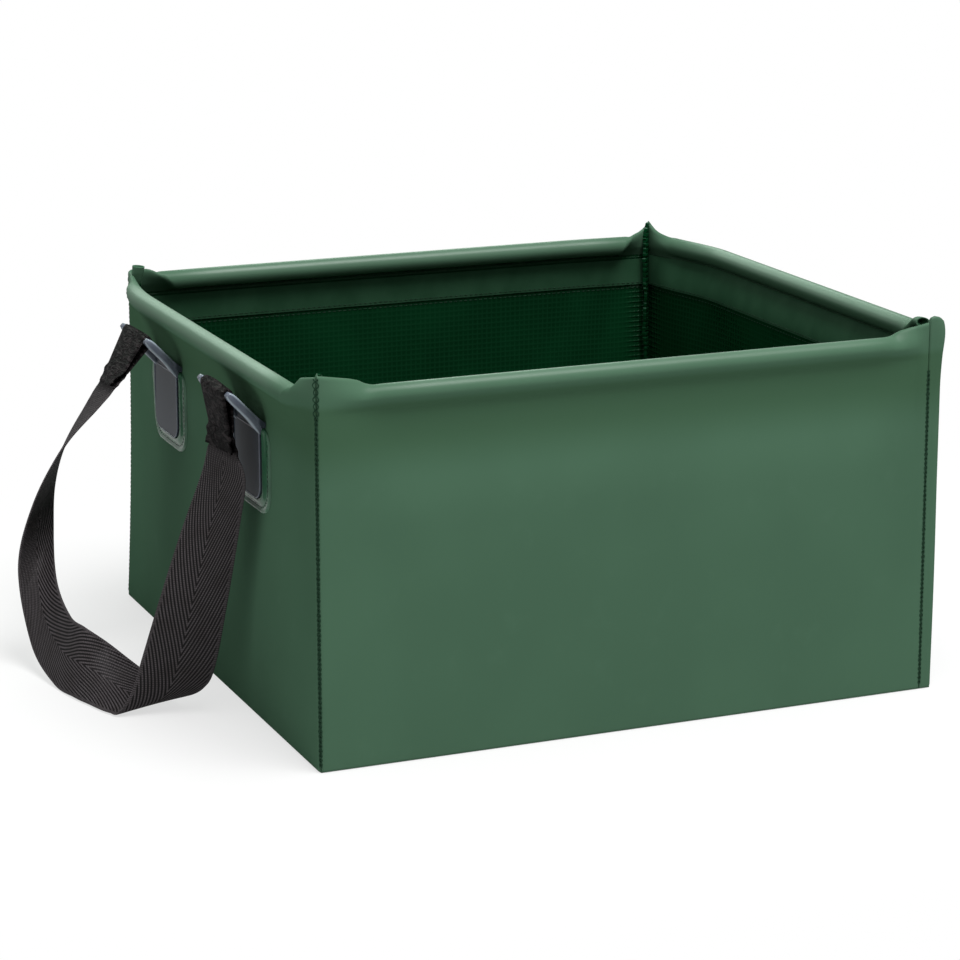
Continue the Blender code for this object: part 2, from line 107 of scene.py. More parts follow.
# Radius of a corner's bend at the base and at the rim, the long wall's part of it, and
# how far round the corner the short wall's cloth reaches before it is sewn
CORNER_BEND = {
    "front_left": (3.2 * MM, 3.2 * MM, 0.5, 0.0),
    "front_right": (3.6 * MM, 5.0 * MM, 0.0, 4.6 * MM),
    "back_left": (3.2 * MM, 4.0 * MM, 0.62, 0.0),
    "back_right": (3.2 * MM, 3.2 * MM, 0.5, 0.0),
}
# Where a corner's outer stitches end, if that is below the hem
SEAM_TOP = {"front_right": 175.5 * MM}

# How far each corner is drawn in at the rim, in X and Y, and how far along the walls
CORNER_PULL = {
    "front_left": (0.0, 0.0),
    "front_right": (0.0, 0.0),
    "back_left": (5.0 * MM, -1.5 * MM),
    "back_right": (-11.0 * MM, -3.0 * MM),
}
PULL_REACH = 95 * MM
PULL_REACH_RIM = 72 * MM
PULL_POWER = 2.2

# Belly of the walls between their stiff edges: how far out, and up to what height
BELLY_SHORT = (2.2 * MM, 118 * MM)
BELLY_LONG = (0.6 * MM, 150 * MM)
WAVE = 0.22 * MM
# Long walls are drawn in a little just under their round hem, less towards the corners
RECESS = {"front": 4.2 * MM, "back": 0.3 * MM}
RECESS_Z = 180 * MM
RECESS_REACH = 55 * MM
RECESS_ENDS = 45 * MM

# Heights where rows of cloth are split, and where the cloth bends
FOOT_BEND = (0.4 * MM, 4.0 * MM)
FOOT_TOP = 70 * MM
CREASE_TOP = 115 * MM
CREASE_HALF = 3.0 * MM
RIM_BEND_Z = 167 * MM

# Ear: the flattened end of the rolled hem, up to a crease where the rod ends
EAR_THICKNESS = 2.4 * MM
HEM_ROWS = 48
HEM_GIRTH = 38 * MM
CREASE_POWER = 1.2
# For each end of each wall, in millimetres from the seam: where that crease crosses the hem's
# outer side, where it crosses its top, and the ear's height above the round hem
EARS_MM = {
    ("front_left", "front"): (36, 34, ((0, 9.0), (0.8, 7.8), (8, 6.4), (19, 4.2), (28, 1.6), (31, 0))),
    ("front_left", "left"): (26, 17, ((0, 9.0), (0.9, 7.2), (5, 6.4), (14, 4.6), (17, 1.4), (20, 0))),
    ("front_right", "front"): (40, 33, ((0, 6.9), (9, 5.6), (17, 4.5), (25, 2.3), (32, 0.2), (36, 0))),
    ("front_right", "right"): (
        64, 36, ((0, 6.9), (0.9, 9.4), (3, 10.2), (6, 9.6), (9, 7.6), (12, 4.6), (20, 2), (26, 0)),
    ),
    ("back_right", "right"): (30, 20, ((0, 8.4), (2, 6.2), (5, 4.0), (9, 2.2), (14, 0.9), (20, 0))),
    ("back_right", "back"): (28, 20, ((0, 8.4), (2, 6.2), (5, 4.0), (9, 2.2), (15, 0.9), (22, 0))),
    ("back_left", "back"): (30, 19, ((0, 1.6), (5, 1.9), (11, 2.0), (16, 0.4), (20, 0))),
    ("back_left", "left"): (62, 34, ((0, 1.6), (2, 1.2), (6, 0.4), (12, 0.1), (18, 0))),
}

# Lip: where a short wall curves out to its hem, and how firmly it sets out and arrives
LIP_START_Z = 164 * MM
LIP_ANGLE = math.radians(-45)
LIP_LEAVE = 21 * MM
LIP_ARRIVE = 15 * MM
HEM_CLOSE_ANGLE = math.radians(262)
# The hem closes on the inside of the wall, this much further in and up
HEM_CLOSE_IN = 0.05 * MM
HEM_CLOSE_UP = 0.2 * MM

FACING_BOTTOM_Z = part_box("front_hem_facing")[0].z
FACING_TOP_Z = 181.4 * MM
FACING_TOP_BACK_Z = 179.0 * MM
FACING_GAP = 0.12 * MM
FACING_THICKNESS = 0.8 * MM
# Depths of the facing's two sides below the wall's outer face
FACING_OUTER = CLOTH + FACING_GAP
FACING_INNER = FACING_OUTER + FACING_THICKNESS
FACING_END = 1.6 * MM

ROD_RADIUS = 4.0 * MM
ROD_CHAMFER = 0.8 * MM
ROD_END_GAP = 2 * MM
# A rod lies against the side of its hem that stays flat towards the corners
ROD_ASIDE = 0.5 * MM

STITCH_PITCH = 3.25 * MM
STITCH_LENGTH = 2.5 * MM
STITCH_JITTER = 0.05 * MM
THREAD = 0.32 * MM
SEAM_THREAD_RADIUS = 0.36 * MM
SEAM_THREAD_OUT = 1.05 * MM
# Length and half width of a chain stitch: along the walls, and at the rim
SEAM_CHAIN = (2.5 * MM, 0.75 * MM)
RIM_CHAIN = (3.5 * MM, 1.35 * MM)

# Seam allowance: two raw edges of cloth on the inside of a corner
FIN_LENGTH = 5.5 * MM
FIN_CLOTH = 0.75 * MM
FIN_GAP = 0.04 * MM
FIN_ROWS = 70

# Loose rolls of the hem's cloth at two corners, open at their first end: for each station the
# place inward from the side wall's and the long wall's planes, its height, and the radius
ROLLS_MM = {
    "front_right": (
        (6.2, 13.0, 198.4, 3.7),
        (5.4, 18.0, 197.8, 3.7),
        (3.0, 24.0, 195.6, 3.6),
        (0.0, 31.0, 191.6, 4.4),
        (-3.6, 39.0, 188.8, 4.8),
    ),
    "back_left": (
        (8.8, 13.0, 199.2, 3.3),
        (8.5, 12.6, 196.0, 3.1),
        (7.8, 11.6, 191.5, 2.8),
        (6.6, 10.4, 187.0, 2.2),
        (5.0, 9.0, 182.5, 1.0),
    ),
}
ROLL_CLOTH = 0.7 * MM
ROLL_MOUTH_ROWS = 5

PATCH_WIDTH = 62 * MM
PATCH_BOTTOM = 114 * MM
PATCH_TOP = 160 * MM
PATCH_CORNER = 14 * MM
PATCH_SIDE = 10.5 * MM
PATCH_FOOT = 7 * MM
PATCH_SHOULDER = 11 * MM
PATCH_THREAD = 0.24 * MM
PATCH_PITCH = 2.6 * MM
# Welded border in section: share of its width, and height above the wall in millimetres
PATCH_SECTION = (
    (0.00, 0.05), (0.02, 0.45), (0.07, 0.95), (0.15, 1.10), (0.24, 0.95), (0.32, 0.62), (0.42, 0.55),
    (0.52, 0.66), (0.62, 1.05), (0.72, 1.45), (0.82, 1.70), (0.91, 1.72), (0.97, 1.45), (1.00, 0.60),
)
PATCH_STITCH_SHARE = 0.40
PLATE_FACE = 2.3 * MM
PLATE_HEAD = 157.6 * MM
PLATE_HALF = 17 * MM
BEAD_RADIUS = 0.42 * MM
BEAD_SHARE = 1.03

# A loop's arm, from its root on the plate up to the bar: distance out from the wall,
# height, inner and outer edge from the loop's middle, and thickness
ARM_MM = (
    (1.6, 156.0, 15.8, 20.3, 0.9),
    (2.4, 158.6, 17.2, 22.2, 3.2),
    (4.2, 162.0, 18.8, 24.5, 5.2),
    (8.0, 166.8, 19.4, 25.2, 4.9),
    (12.0, 171.0, 19.4, 25.2, 4.7),
    (15.8, 175.0, 19.4, 25.2, 4.8),
    (18.0, 177.3, 19.5, 25.1, 4.4),
    (19.6, 178.9, 19.8, 24.8, 2.6),
)

WEBBING_WIDTH = 38 * MM
WEBBING = 1.4 * MM
# The hanging strap: at each station a point on one edge and one towards the other edge,
# as distance out from the wall, place along it and height
STRAP_STATIONS_MM = (
    ((15.6, -51.0, 158.0), (14.8, -89.0, 158.0)),
    ((17.0, -51.5, 145.0), (13.0, -89.0, 145.0)),
    ((22.0, -55.0, 130.0), (10.5, -91.0, 132.0)),
    ((34.0, -54.5, 99.0), (10.0, -85.5, 108.0)),
    ((47.0, -55.0, 63.0), (14.0, -76.0, 69.0)),
    ((55.0, -51.5, 35.0), (20.0, -64.0, 28.0)),
    ((61.0, -48.5, 14.0), (25.0, -56.0, 14.0)),
    ((68.0, -45.5, 2.5), (31.0, -45.0, 7.5)),
    ((71.0, -39.5, 1.2), (39.0, -29.0, 7.5)),
    ((74.0, -32.0, 1.0), (49.0, -13.5, 13.0)),
    ((77.0, -22.0, 1.0), (61.0, -2.5, 24.0)),
    ((81.0, -8.0, 1.0), (70.0, 5.0, 35.0)),
    ((85.5, 16.0, 1.6), (73.0, 23.0, 38.0)),
    ((88.5, 50.0, 14.0), (72.0, 55.0, 47.0)),
    ((89.5, 69.5, 52.0), (65.0, 90.0, 66.0)),
    ((80.0, 69.5, 87.0), (60.0, 99.0, 90.0)),
    ((65.0, 57.5, 121.0), (54.0, 94.0, 114.0)),
    ((46.0, 52.0, 143.0), (42.0, 90.0, 137.0)),
    ((28.5, 51.0, 160.5), (28.0, 89.0, 159.0)),
)
STEPS_PER_SPAN = 14
# Places across the strap, as shares of its half width
STRAP_ACROSS = (-1.0, -0.985, -0.95, -0.8, -0.55, -0.3, 0.0, 0.3, 0.55, 0.8, 0.95, 0.985, 1.0)
ANCHOR_OFFSET_Y = 70 * MM
BAR_OUT = 18 * MM
BAR_Z = 177 * MM
BAR_RADIUS = 1.6 * MM
WRAP_RADIUS = BAR_RADIUS + 0.35 * MM + WEBBING / 2
WRAP_STEPS = 16
TAIL_LENGTH = 32 * MM
TAIL_CLOSES_AT = 10 * MM
TAIL_SPACING = 2.0 * MM

GREEN = (0.054, 0.112, 0.070, 1.0)
GREEN_DEEP = (0.050, 0.104, 0.065, 1.0)
GREEN_WORN = (0.061, 0.121, 0.078, 1.0)
# painted shade just under the hem
GREEN_PAINTED_HEM_SHADE = (0.0385, 0.084, 0.0465, 1.0)
INSIDE = (0.0018, 0.030, 0.0095, 1.0)
INSIDE_DEEP = (0.0011, 0.020, 0.0062, 1.0)
INSIDE_YARN = (0.006, 0.045, 0.017, 1.0)
WELD = (0.034, 0.102, 0.056, 1.0)
WELD_DEEP = (0.022, 0.075, 0.040, 1.0)
FACING = (0.024, 0.070, 0.037, 1.0)
FACING_DEEP = (0.018, 0.057, 0.029, 1.0)
THREAD_DARK = (0.0045, 0.020, 0.0095, 1.0)
THREAD_LIGHT = (0.022, 0.060, 0.034, 1.0)
FACING_THREAD_DARK = (0.003, 0.012, 0.006, 1.0)
FACING_THREAD_LIGHT = (0.028, 0.070, 0.040, 1.0)
RAW_EDGE = (0.10, 0.20, 0.14, 1.0)
BLACK = (0.0085, 0.0078, 0.0082, 1.0)
# painted shade in the hollows of the crumpled ends
BLACK_PAINTED_FOLD_SHADE = (0.0030, 0.0026, 0.0028, 1.0)
# painted glint on the ribs, and below it the same glint duller where the webbing is worn
PAINTED_RIB_GLINT = (0.078, 0.070, 0.074, 1.0)
WORN_PAINTED_RIB_GLINT = (0.040, 0.033, 0.032, 1.0)
# painted light on the crests of the crumpled ends
BLACK_PAINTED_CRINKLE_LIGHT = (0.024, 0.020, 0.021, 1.0)
LOOP = (0.078, 0.090, 0.118, 1.0)
LOOP_PALE = (0.115, 0.130, 0.160, 1.0)
# painted sheen where the arms are seen edge-on
LOOP_PAINTED_EDGE_SHEEN = (0.15, 0.19, 0.21, 1.0)
# painted highlight along the arms' rounded edges
ARM_PAINTED_EDGE_HIGHLIGHT = (0.26, 0.31, 0.35, 1.0)
# the plate's colour at its top, darker by painted shade, and at its bottom
PLATE_DARK = (0.030, 0.038, 0.048, 1.0)
PLATE_PALE = (0.050, 0.058, 0.070, 1.0)
ROD = (0.22, 0.22, 0.21, 1.0)
ROD_STREAK = (0.30, 0.30, 0.28, 1.0)
FLOOR_DARK = (0.58, 0.58, 0.58, 1.0)
FLOOR_LIGHT = (0.60, 0.60, 0.60, 1.0)

# Lengths that repeat in the materials
WEAVE_PITCH = 1.05 * MM
LAID_PITCH = 3.1 * MM
LAID_FINE_PITCH = 0.62 * MM
TWIST_PITCH = 0.42 * MM
RIB_PITCH = 1.85 * MM
RIB_SLANT = math.tan(math.radians(20))
DOT_PITCH = 1.10 * MM
SELVEDGE_PITCH = 0.95 * MM


def smoothstep(value):
    value = np.clip(value, 0.0, 1.0)
    return value * value * (3 - 2 * value)


def unit(vectors):
    return vectors / np.linalg.norm(vectors, axis=-1, keepdims=True)


def distances(path):
    """How far along a path each of its points lies."""
    steps = np.linalg.norm(np.diff(path, axis=0), axis=1)
    return np.concatenate([[0], np.cumsum(steps)])


def between_stations(rows, count):
    """Rows of a table at evenly spaced places from its first to its last."""
    at = np.linspace(0, len(rows) - 1, count)
    return np.stack([np.interp(at, range(len(rows)), column) for column in rows.T], axis=1)


def soften(rows):
    """Average each row but the first and the last with its neighbours, in place."""
    rows[1:-1] = (rows[:-2] + rows[1:-1] + rows[2:]) / 3


def round_angles(count):
    return np.linspace(0, 2 * math.pi, count, endpoint=False)


class Wall:
    """One wall: its outward normal and tangent in plan, its corners and its hem."""

    def __init__(self, name, normal, tangent, start, end):
        self.name = name
        self.normal = np.array(normal, float)
        self.tangent = np.array(tangent, float)
        self.start = start
        self.end = end
        self.long = name in ("front", "back")
        self.plane = HALF_Y if self.long else HALF_X
        self.half = HALF_X if self.long else HALF_Y
        self.reach = self.half - CORNER_RADIUS + ARC_LENGTH
        low, high = (np.array(corner)[:2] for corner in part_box(name + "_hem_sleeve"))
        centre = (low + high) / 2
        self.hem_depth = self.plane - abs(float(centre @ self.normal))
        self.stop = self.half - abs(float((high - low) @ self.tangent)) / 2
        self.belly, self.belly_top = BELLY_LONG if self.long else BELLY_SHORT

    def outward(self, count):
        """The wall's normal in the frame, once for each of a number of points."""
        return np.tile([*self.normal, 0.0], (count, 1))


WALLS = {
    "front": Wall("front", (0, -1), (1, 0), "front_left", "front_right"),
    "right": Wall("right", (1, 0), (0, 1), "front_right", "back_right"),
    "back": Wall("back", (0, 1), (-1, 0), "back_right", "back_left"),
    "left": Wall("left", (-1, 0), (0, -1), "back_left", "front_left"),
}
ENDING_AT = {wall.end: wall for wall in WALLS.values()}
STARTING_AT = {wall.start: wall for wall in WALLS.values()}


def belly(wall, u, z, depth):
    """Outward swell of a wall, zero at the base, at the rim and at the corners."""
    ends = 1 - np.clip(np.abs(u) / wall.reach, 0, 1) ** 3
    rise = np.sin(np.pi * np.clip(z / wall.belly_top, 0, 1)) ** 1.3
    phase = 1.3 if wall.long else 0.4
    wave = np.sin(u * 21 + phase) * np.sin(z * 27 + 0.6) + 0.6 * np.sin(u * 47 - z * 33 + phase)
    swell = ends * rise * (wall.belly + WAVE * wave)
    if wall.long:
        reach = np.where(z > RECESS_Z, HEM_Z - RECESS_Z, RECESS_REACH)
        away = np.clip(np.abs(z - RECESS_Z) / reach, 0, 1)
        inner = smoothstep((wall.reach - np.abs(u)) / RECESS_ENDS)
        outside = 1 - smoothstep((depth - 3 * MM) / (4 * MM))
        swell = swell - RECESS[wall.name] * inner * outside * (1 - smoothstep(away))
    return swell


def groove(s, depth):
    """Extra depth near a corner seam, less for what lies inside the outer face."""
    share = np.clip(1 - s / GROOVE_WIDTH, 0, 1)
    return GROOVE_DEPTH * (1 - np.sqrt(1 - share**2)) * np.clip(1 - depth / EAR_THICKNESS, 0, 1)


def bend_angle(wall, corner):
    """The part of a corner's quarter turn that belongs to a wall."""
    share = CORNER_BEND[corner][2]
    return math.pi / 2 * (share if wall.long else 1 - share)


def place(wall, u, depth, z):
    """Points in the frame for cloth coordinates of a wall."""
    u, depth, z = (np.array(values, float) for values in np.broadcast_arrays(u, depth, z))
    along = u.copy()
    out = wall.plane - depth
    shift = np.zeros(u.shape + (2,))
    for side, corner in ((-1, wall.start), (1, wall.end)):
        s = np.maximum(wall.reach - side * u, 0)
        low_bend, high_bend, _, lead = CORNER_BEND[corner]
        bend = low_bend + (high_bend - low_bend) * np.clip(z / HINGE_Z, 0, 1)
        turn = bend_angle(wall, corner)
        arc = np.maximum(bend * turn, 1e-9)
        # the cloth's flat strip beyond the bend, and where the bend's centre stands
        strip = 0.0 if wall.long else lead
        centre = wall.half - bend - (lead if wall.long else 0.0)
        start = strip + arc
        cut = groove(s, depth)
        # between the bend and the post's edge the cloth is stretched to fit
        straight = (s - start) / (POST_WIDTH - start)
        near_along = centre * (1 - straight) + (wall.reach - POST_WIDTH) * straight
        along = np.where((s >= start) & (s < POST_WIDTH), side * near_along, along)
        near = s < start
        angle = np.clip(turn * (1 - (s - strip) / arc), 0, turn)
        beyond = np.clip(strip - s, 0, None)
        radius = np.maximum(bend - depth - cut, 0.15 * MM)
        corner_along = side * (centre + radius * np.sin(angle) + beyond * np.cos(angle))
        corner_out = wall.plane - bend + radius * np.cos(angle) - beyond * np.sin(angle)
        along = np.where(near, corner_along, along)
        out = np.where(near, corner_out, out - cut)
        pull = 1 - (1 - np.clip(z / HEM_Z, 0, 1)) ** PULL_POWER
        rim = smoothstep((z - 0.6 * HEM_Z) / (0.33 * HEM_Z))
        reach = PULL_REACH + (PULL_REACH_RIM - PULL_REACH) * rim
        weight = pull * (1 - smoothstep(s / reach))
        shift += weight[..., None] * np.array(CORNER_PULL[corner])
    out = out + belly(wall, u, z, depth)
    plan = out[..., None] * wall.normal + along[..., None] * wall.tangent + shift
    return np.concatenate([plan, z[..., None]], axis=-1)


def lip_curve(wall):
    """(outward, height) points of a short wall's curve from vertical to the hem's side."""
    start = np.array([0.0, LIP_START_Z])
    leave = np.array([0.0, LIP_LEAVE])
    ray = np.array([math.cos(LIP_ANGLE), math.sin(LIP_ANGLE)])
    end = np.array([-wall.hem_depth, HEM_Z]) + HEM_RADIUS * ray
    arrive = LIP_ARRIVE * np.array([-ray[1], ray[0]])
    t = np.linspace(0, 1, 60)[:, None]
    return (
        (2 * t**3 - 3 * t**2 + 1) * start
        + (t**3 - 2 * t**2 + t) * leave
        + (3 * t**2 - 2 * t**3) * end
        + (t**3 - t**2) * arrive
    )


def lip(wall, z):
    """How far a wall stands out below its hem, away from the corners."""
    if wall.long:
        return np.zeros_like(z)
    curve = lip_curve(wall)
    return np.interp(z, curve[:, 1], curve[:, 0], left=0.0)


def resample(points, count):
    length = distances(points)
    at = np.linspace(0, length[-1], count)
    return np.stack([np.interp(at, length, column) for column in points.T], axis=1)


def tube_section(wall):
    """(depth, height) of the round hem, from the hinge line outside, over, to inside."""
    angles = np.linspace(0.0 if wall.long else LIP_ANGLE, HEM_CLOSE_ANGLE, 60)
    ring = np.stack(
        [wall.hem_depth - HEM_RADIUS * np.cos(angles), HEM_Z + HEM_RADIUS * np.sin(angles)], axis=1
    )
    foot = 0.0
    first = np.array([[0.0, HINGE_Z]])
    if not wall.long:
        curve = lip_curve(wall)
        foot = -float(np.interp(HINGE_Z, curve[:, 1], curve[:, 0]))
        above = curve[curve[:, 1] > HINGE_Z]
        first = np.vstack([[foot, HINGE_Z], np.stack([-above[:, 0], above[:, 1]], axis=1)[:-1]])
    last = np.array([[foot + CLOTH + HEM_CLOSE_IN, HINGE_Z + HEM_CLOSE_UP]])
    return resample(np.vstack([first, ring, last]), HEM_ROWS)


def ear_section(top_z):
    """(depth, height) of the flattened hem: up, over a tight fold and down again."""
    fold = EAR_THICKNESS / 2
    angles = np.linspace(0, math.pi, 12)
    over = np.stack([fold - fold * np.cos(angles), top_z - fold + fold * np.sin(angles)], axis=1)
    first = np.array([[0.0, HINGE_Z]])
    last = np.array(
        [[EAR_THICKNESS, HEM_Z - 2 * MM], [CLOTH + HEM_CLOSE_IN, HINGE_Z + HEM_CLOSE_UP]]
    )
    return resample(np.vstack([first, over, last]), HEM_ROWS)


def standing(wall, u):
    """1 where a short wall stands out under its round hem, 0 at the corner seams."""
    s = wall.reach - np.abs(u)
    first = EARS_MM[wall.start, wall.name][0] * MM
    second = EARS_MM[wall.end, wall.name][0] * MM
    return np.clip(s / np.where(np.asarray(u) < 0, first, second), 0, 1) ** CREASE_POWER


def hem_rows(wall, u):
    """(depth, height) arrays of the hem section at every column."""
    tube = tube_section(wall)
    foot = tube[0, 0]
    rise = np.clip((tube[:, 1] - HINGE_Z) / (HEM_Z + HEM_RADIUS - HINGE_Z), 0, 1)
    row = np.arange(HEM_ROWS)
    at_start = np.clip(1 - row / 7, 0, 1) ** 2
    at_close = np.clip(1 - (HEM_ROWS - 1 - row) / 5, 0, 1) ** 2
    depth = np.empty((len(u), HEM_ROWS))
    height = np.empty((len(u), HEM_ROWS))
    for index, place_u in enumerate(u):
        s = wall.reach - abs(place_u)
        corner = wall.start if place_u < 0 else wall.end
        outside, on_top, profile = EARS_MM[corner, wall.name]
        profile = np.array(profile) * MM
        top = HEM_Z + HEM_RADIUS + float(np.interp(s, profile[:, 0], profile[:, 1]))
        ear = ear_section(top)
        out = np.clip(s / ((outside + (on_top - outside) * rise) * MM), 0, 1)
        round_share = out**CREASE_POWER
        up_share = smoothstep((out - 0.68) / 0.32)
        depth[index] = ear[:, 0] * (1 - round_share) + tube[:, 0] * round_share
        height[index] = ear[:, 1] * (1 - up_share) + tube[:, 1] * up_share
        # the hem starts and closes on the wall below it
        wanted = foot * float(standing(wall, place_u))
        depth[index] += (wanted - depth[index, 0]) * at_start
        depth[index] += (wanted + CLOTH + HEM_CLOSE_IN - depth[index, -1]) * at_close
    return depth, height


def end_distances(wall):
    """Distances from the seam where columns stand, from the seam to past the hem's end."""
    near = (
        0, 0.12, 0.25, 0.4, 0.6, 0.8, 1.0, 1.2, 1.4, 1.7,
        2.1, 2.5, 3.2, 4.2, 5.6, 7.2, 8.8, 10.4, 12, 14,
    )
    far = np.arange(POST_WIDTH, wall.stop - 0.5 * MM, 1.25 * MM)
    return np.concatenate([np.array(near) * MM, far, [wall.stop]])


def columns(wall):
    """u of every column, from the start corner's seam to the end corner's seam."""
    ends = end_distances(wall)
    inner = wall.reach - wall.stop
    middle = np.linspace(-inner, inner, int(2 * inner / (4 * MM)) + 1)[1:-1]
    return np.concatenate([ends - wall.reach, middle, (wall.reach - ends)[::-1]])


def corner_columns(wall, count, edge):
    """The columns at each of a wall's two corners, up to and with the edge column."""
    return {wall.start: slice(0, edge + 1), wall.end: slice(count - edge - 1, count)}


def wall_heights():
    """Heights of every row of cloth up to the hinge line, in three groups that share ends."""
    bottom = (0, 0.1, 0.3, 0.6, 0.9, 1.2, 1.6, 2.2, 3.0, 4.0, 5.5, 7.5, 10)
    foot = [value * MM for value in bottom] + list(np.arange(15 * MM, FOOT_TOP - MM, 5 * MM))
    bend = list(np.linspace(CREASE_Z - CREASE_HALF, CREASE_Z + CREASE_HALF, 13))
    crease = [FOOT_TOP, 76 * MM, 82 * MM] + bend + [101 * MM, 108 * MM]
    top = list(np.arange(CREASE_TOP, 160 * MM, 5 * MM))
    top += list(np.linspace(160 * MM, HINGE_Z, 13))
    return foot + [FOOT_TOP], crease + [CREASE_TOP], top


FOOT_ROWS, CREASE_ROWS, TOP_ROWS = wall_heights()
# The last rows of a short wall, which make its neck
NECK_ROWS = 3
NECK_Z = TOP_ROWS[-1 - NECK_ROWS]


def skin(wall, u, z, depth):
    """Points at a depth below a wall's outer face, at heights up to the hinge line."""
    u, z = np.broadcast_arrays(np.asarray(u, float), np.asarray(z, float))
    edge = np.clip(1 - z / BASE_EDGE, 0, 1)
    rounded = BASE_EDGE * (1 - np.sqrt(1 - edge**2))
    return place(wall, u, depth + rounded - lip(wall, z) * standing(wall, u), z)


def sheet(wall, u, z, depth):
    """A grid of skin points, with a column for each u and a row for each z."""
    return skin(wall, u[:, None], z[None, :], depth)


def grid_normals(grid):
    normal = np.cross(np.gradient(grid, axis=0), np.gradient(grid, axis=1))
    length = np.linalg.norm(normal, axis=-1, keepdims=True)
    return normal / np.maximum(length, 1e-12)


def cloth_grid(u, v, reach=None):
    """Cloth coordinates; the third is the distance from the nearest corner seam."""
    u, v = np.meshgrid(u, v, indexing="ij")
    away = np.zeros_like(u) if reach is None else reach - np.abs(u)
    return np.stack([u, v, away], axis=-1)


def add_object(name, data):
    made = bpy.data.objects.new(name, data)
    bpy.context.scene.collection.objects.link(made)
    return made


class Shape:
    """Collects quads with cloth coordinates, normals and a material number."""

    def __init__(self):
        self.points = []
        self.cloth = []
        self.faces = []
        self.kinds = []
        self.normals = {}

    def add_grid(self, grid, cloth, kind=0, flip=False, normals=None, closed=False):
        """A grid of points as quads. closed joins the last row to the first."""
        count, rows = grid.shape[:2]
        first = len(self.points)
        self.points.extend(grid.reshape(-1, 3).tolist())
        self.cloth.extend(cloth.reshape(-1, 3).tolist())
        if normals is not None:
            self.normals.update(enumerate(normals.reshape(-1, 3), first))
        for i in range(count - 1):
            near = first + i * rows
            far = near + rows
            for j in range(rows if closed else rows - 1):
                k = (j + 1) % rows
                quad = [near + j, far + j, far + k, near + k]
                self.faces.append(quad[::-1] if flip else quad)
                self.kinds.append(kind)
        return first, count, rows

    def close_border(self, outer, inner, kind):
        """Faces between the borders of two grids of the same size."""
        first_o, count, rows = outer
        first_i = inner[0]
        ring = [(i, 0) for i in range(count)]
        ring += [(count - 1, j) for j in range(1, rows)]
        ring += [(i, rows - 1) for i in range(count - 2, -1, -1)]
        ring += [(0, j) for j in range(rows - 2, 0, -1)]
        for (i, j), (k, m) in zip(ring, ring[1:] + ring[:1]):
            a, b = i * rows + j, k * rows + m
            self.faces.append([first_o + b, first_o + a, first_i + a, first_i + b])
            self.kinds.append(kind)

    def add_slab(self, outer, inner, cloth, normals=None, kinds=(0, 1, 0)):
        """A closed sheet between two grids. kinds: outside, inside and border."""
        front = self.add_grid(outer, cloth, kinds[0], False, normals)
        back = self.add_grid(inner, cloth, kinds[1], True, None if normals is None else -normals)
        self.close_border(front, back, kinds[2])

    def add_tube(self, grid, cloth, normals=None, turned=False):
        """A grid closed along its rows and capped at both ends."""
        first, count, rows = self.add_grid(grid, cloth, 0, False, normals, closed=True)
        near = [first + j for j in range(rows)]
        far = [first + (count - 1) * rows + j for j in range(rows)]
        self.faces += [near[::-1], far] if turned else [near, far[::-1]]
        self.kinds += [0, 0]

    def build(self, name, materials, body=None, replaces=None):
        """The finished piece. Without a body it is left unattached."""
        mesh = bpy.data.meshes.new(name)
        mesh.from_pydata(self.points, [], self.faces)
        for material in materials:
            mesh.materials.append(material)
        mesh.polygons.foreach_set("material_index", self.kinds)
        mesh.polygons.foreach_set("use_smooth", [True] * len(self.faces))
        cloth = mesh.attributes.new("cloth", "FLOAT_VECTOR", "POINT")
        cloth.data.foreach_set("vector", np.array(self.cloth, np.float32).ravel())
        if self.normals:
            self.set_normals(mesh)
        piece = add_object(name, mesh)
        PIECES.append(piece)
        if body:
            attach(piece, body)
        if replaces:
            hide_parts(replaces)
        return piece

    def set_normals(self, mesh):
        """Give each corner its grid's normal, and a border face its own."""
        normals = []
        for polygon in mesh.polygons:
            flat = polygon.normal
            for vertex in polygon.vertices:
                known = self.normals.get(vertex)
                if known is None or float(np.dot(known, flat)) < 0.3:
                    known = flat
                normals.append(tuple(known))
        mesh.normals_split_custom_set(normals)


def turn_outward(piece):
    """Turn the faces of a closed piece outward."""
    shape = bmesh.new()
    shape.from_mesh(piece.data)
    bmesh.ops.recalc_face_normals(shape, faces=shape.faces)
    shape.to_mesh(piece.data)
    shape.free()


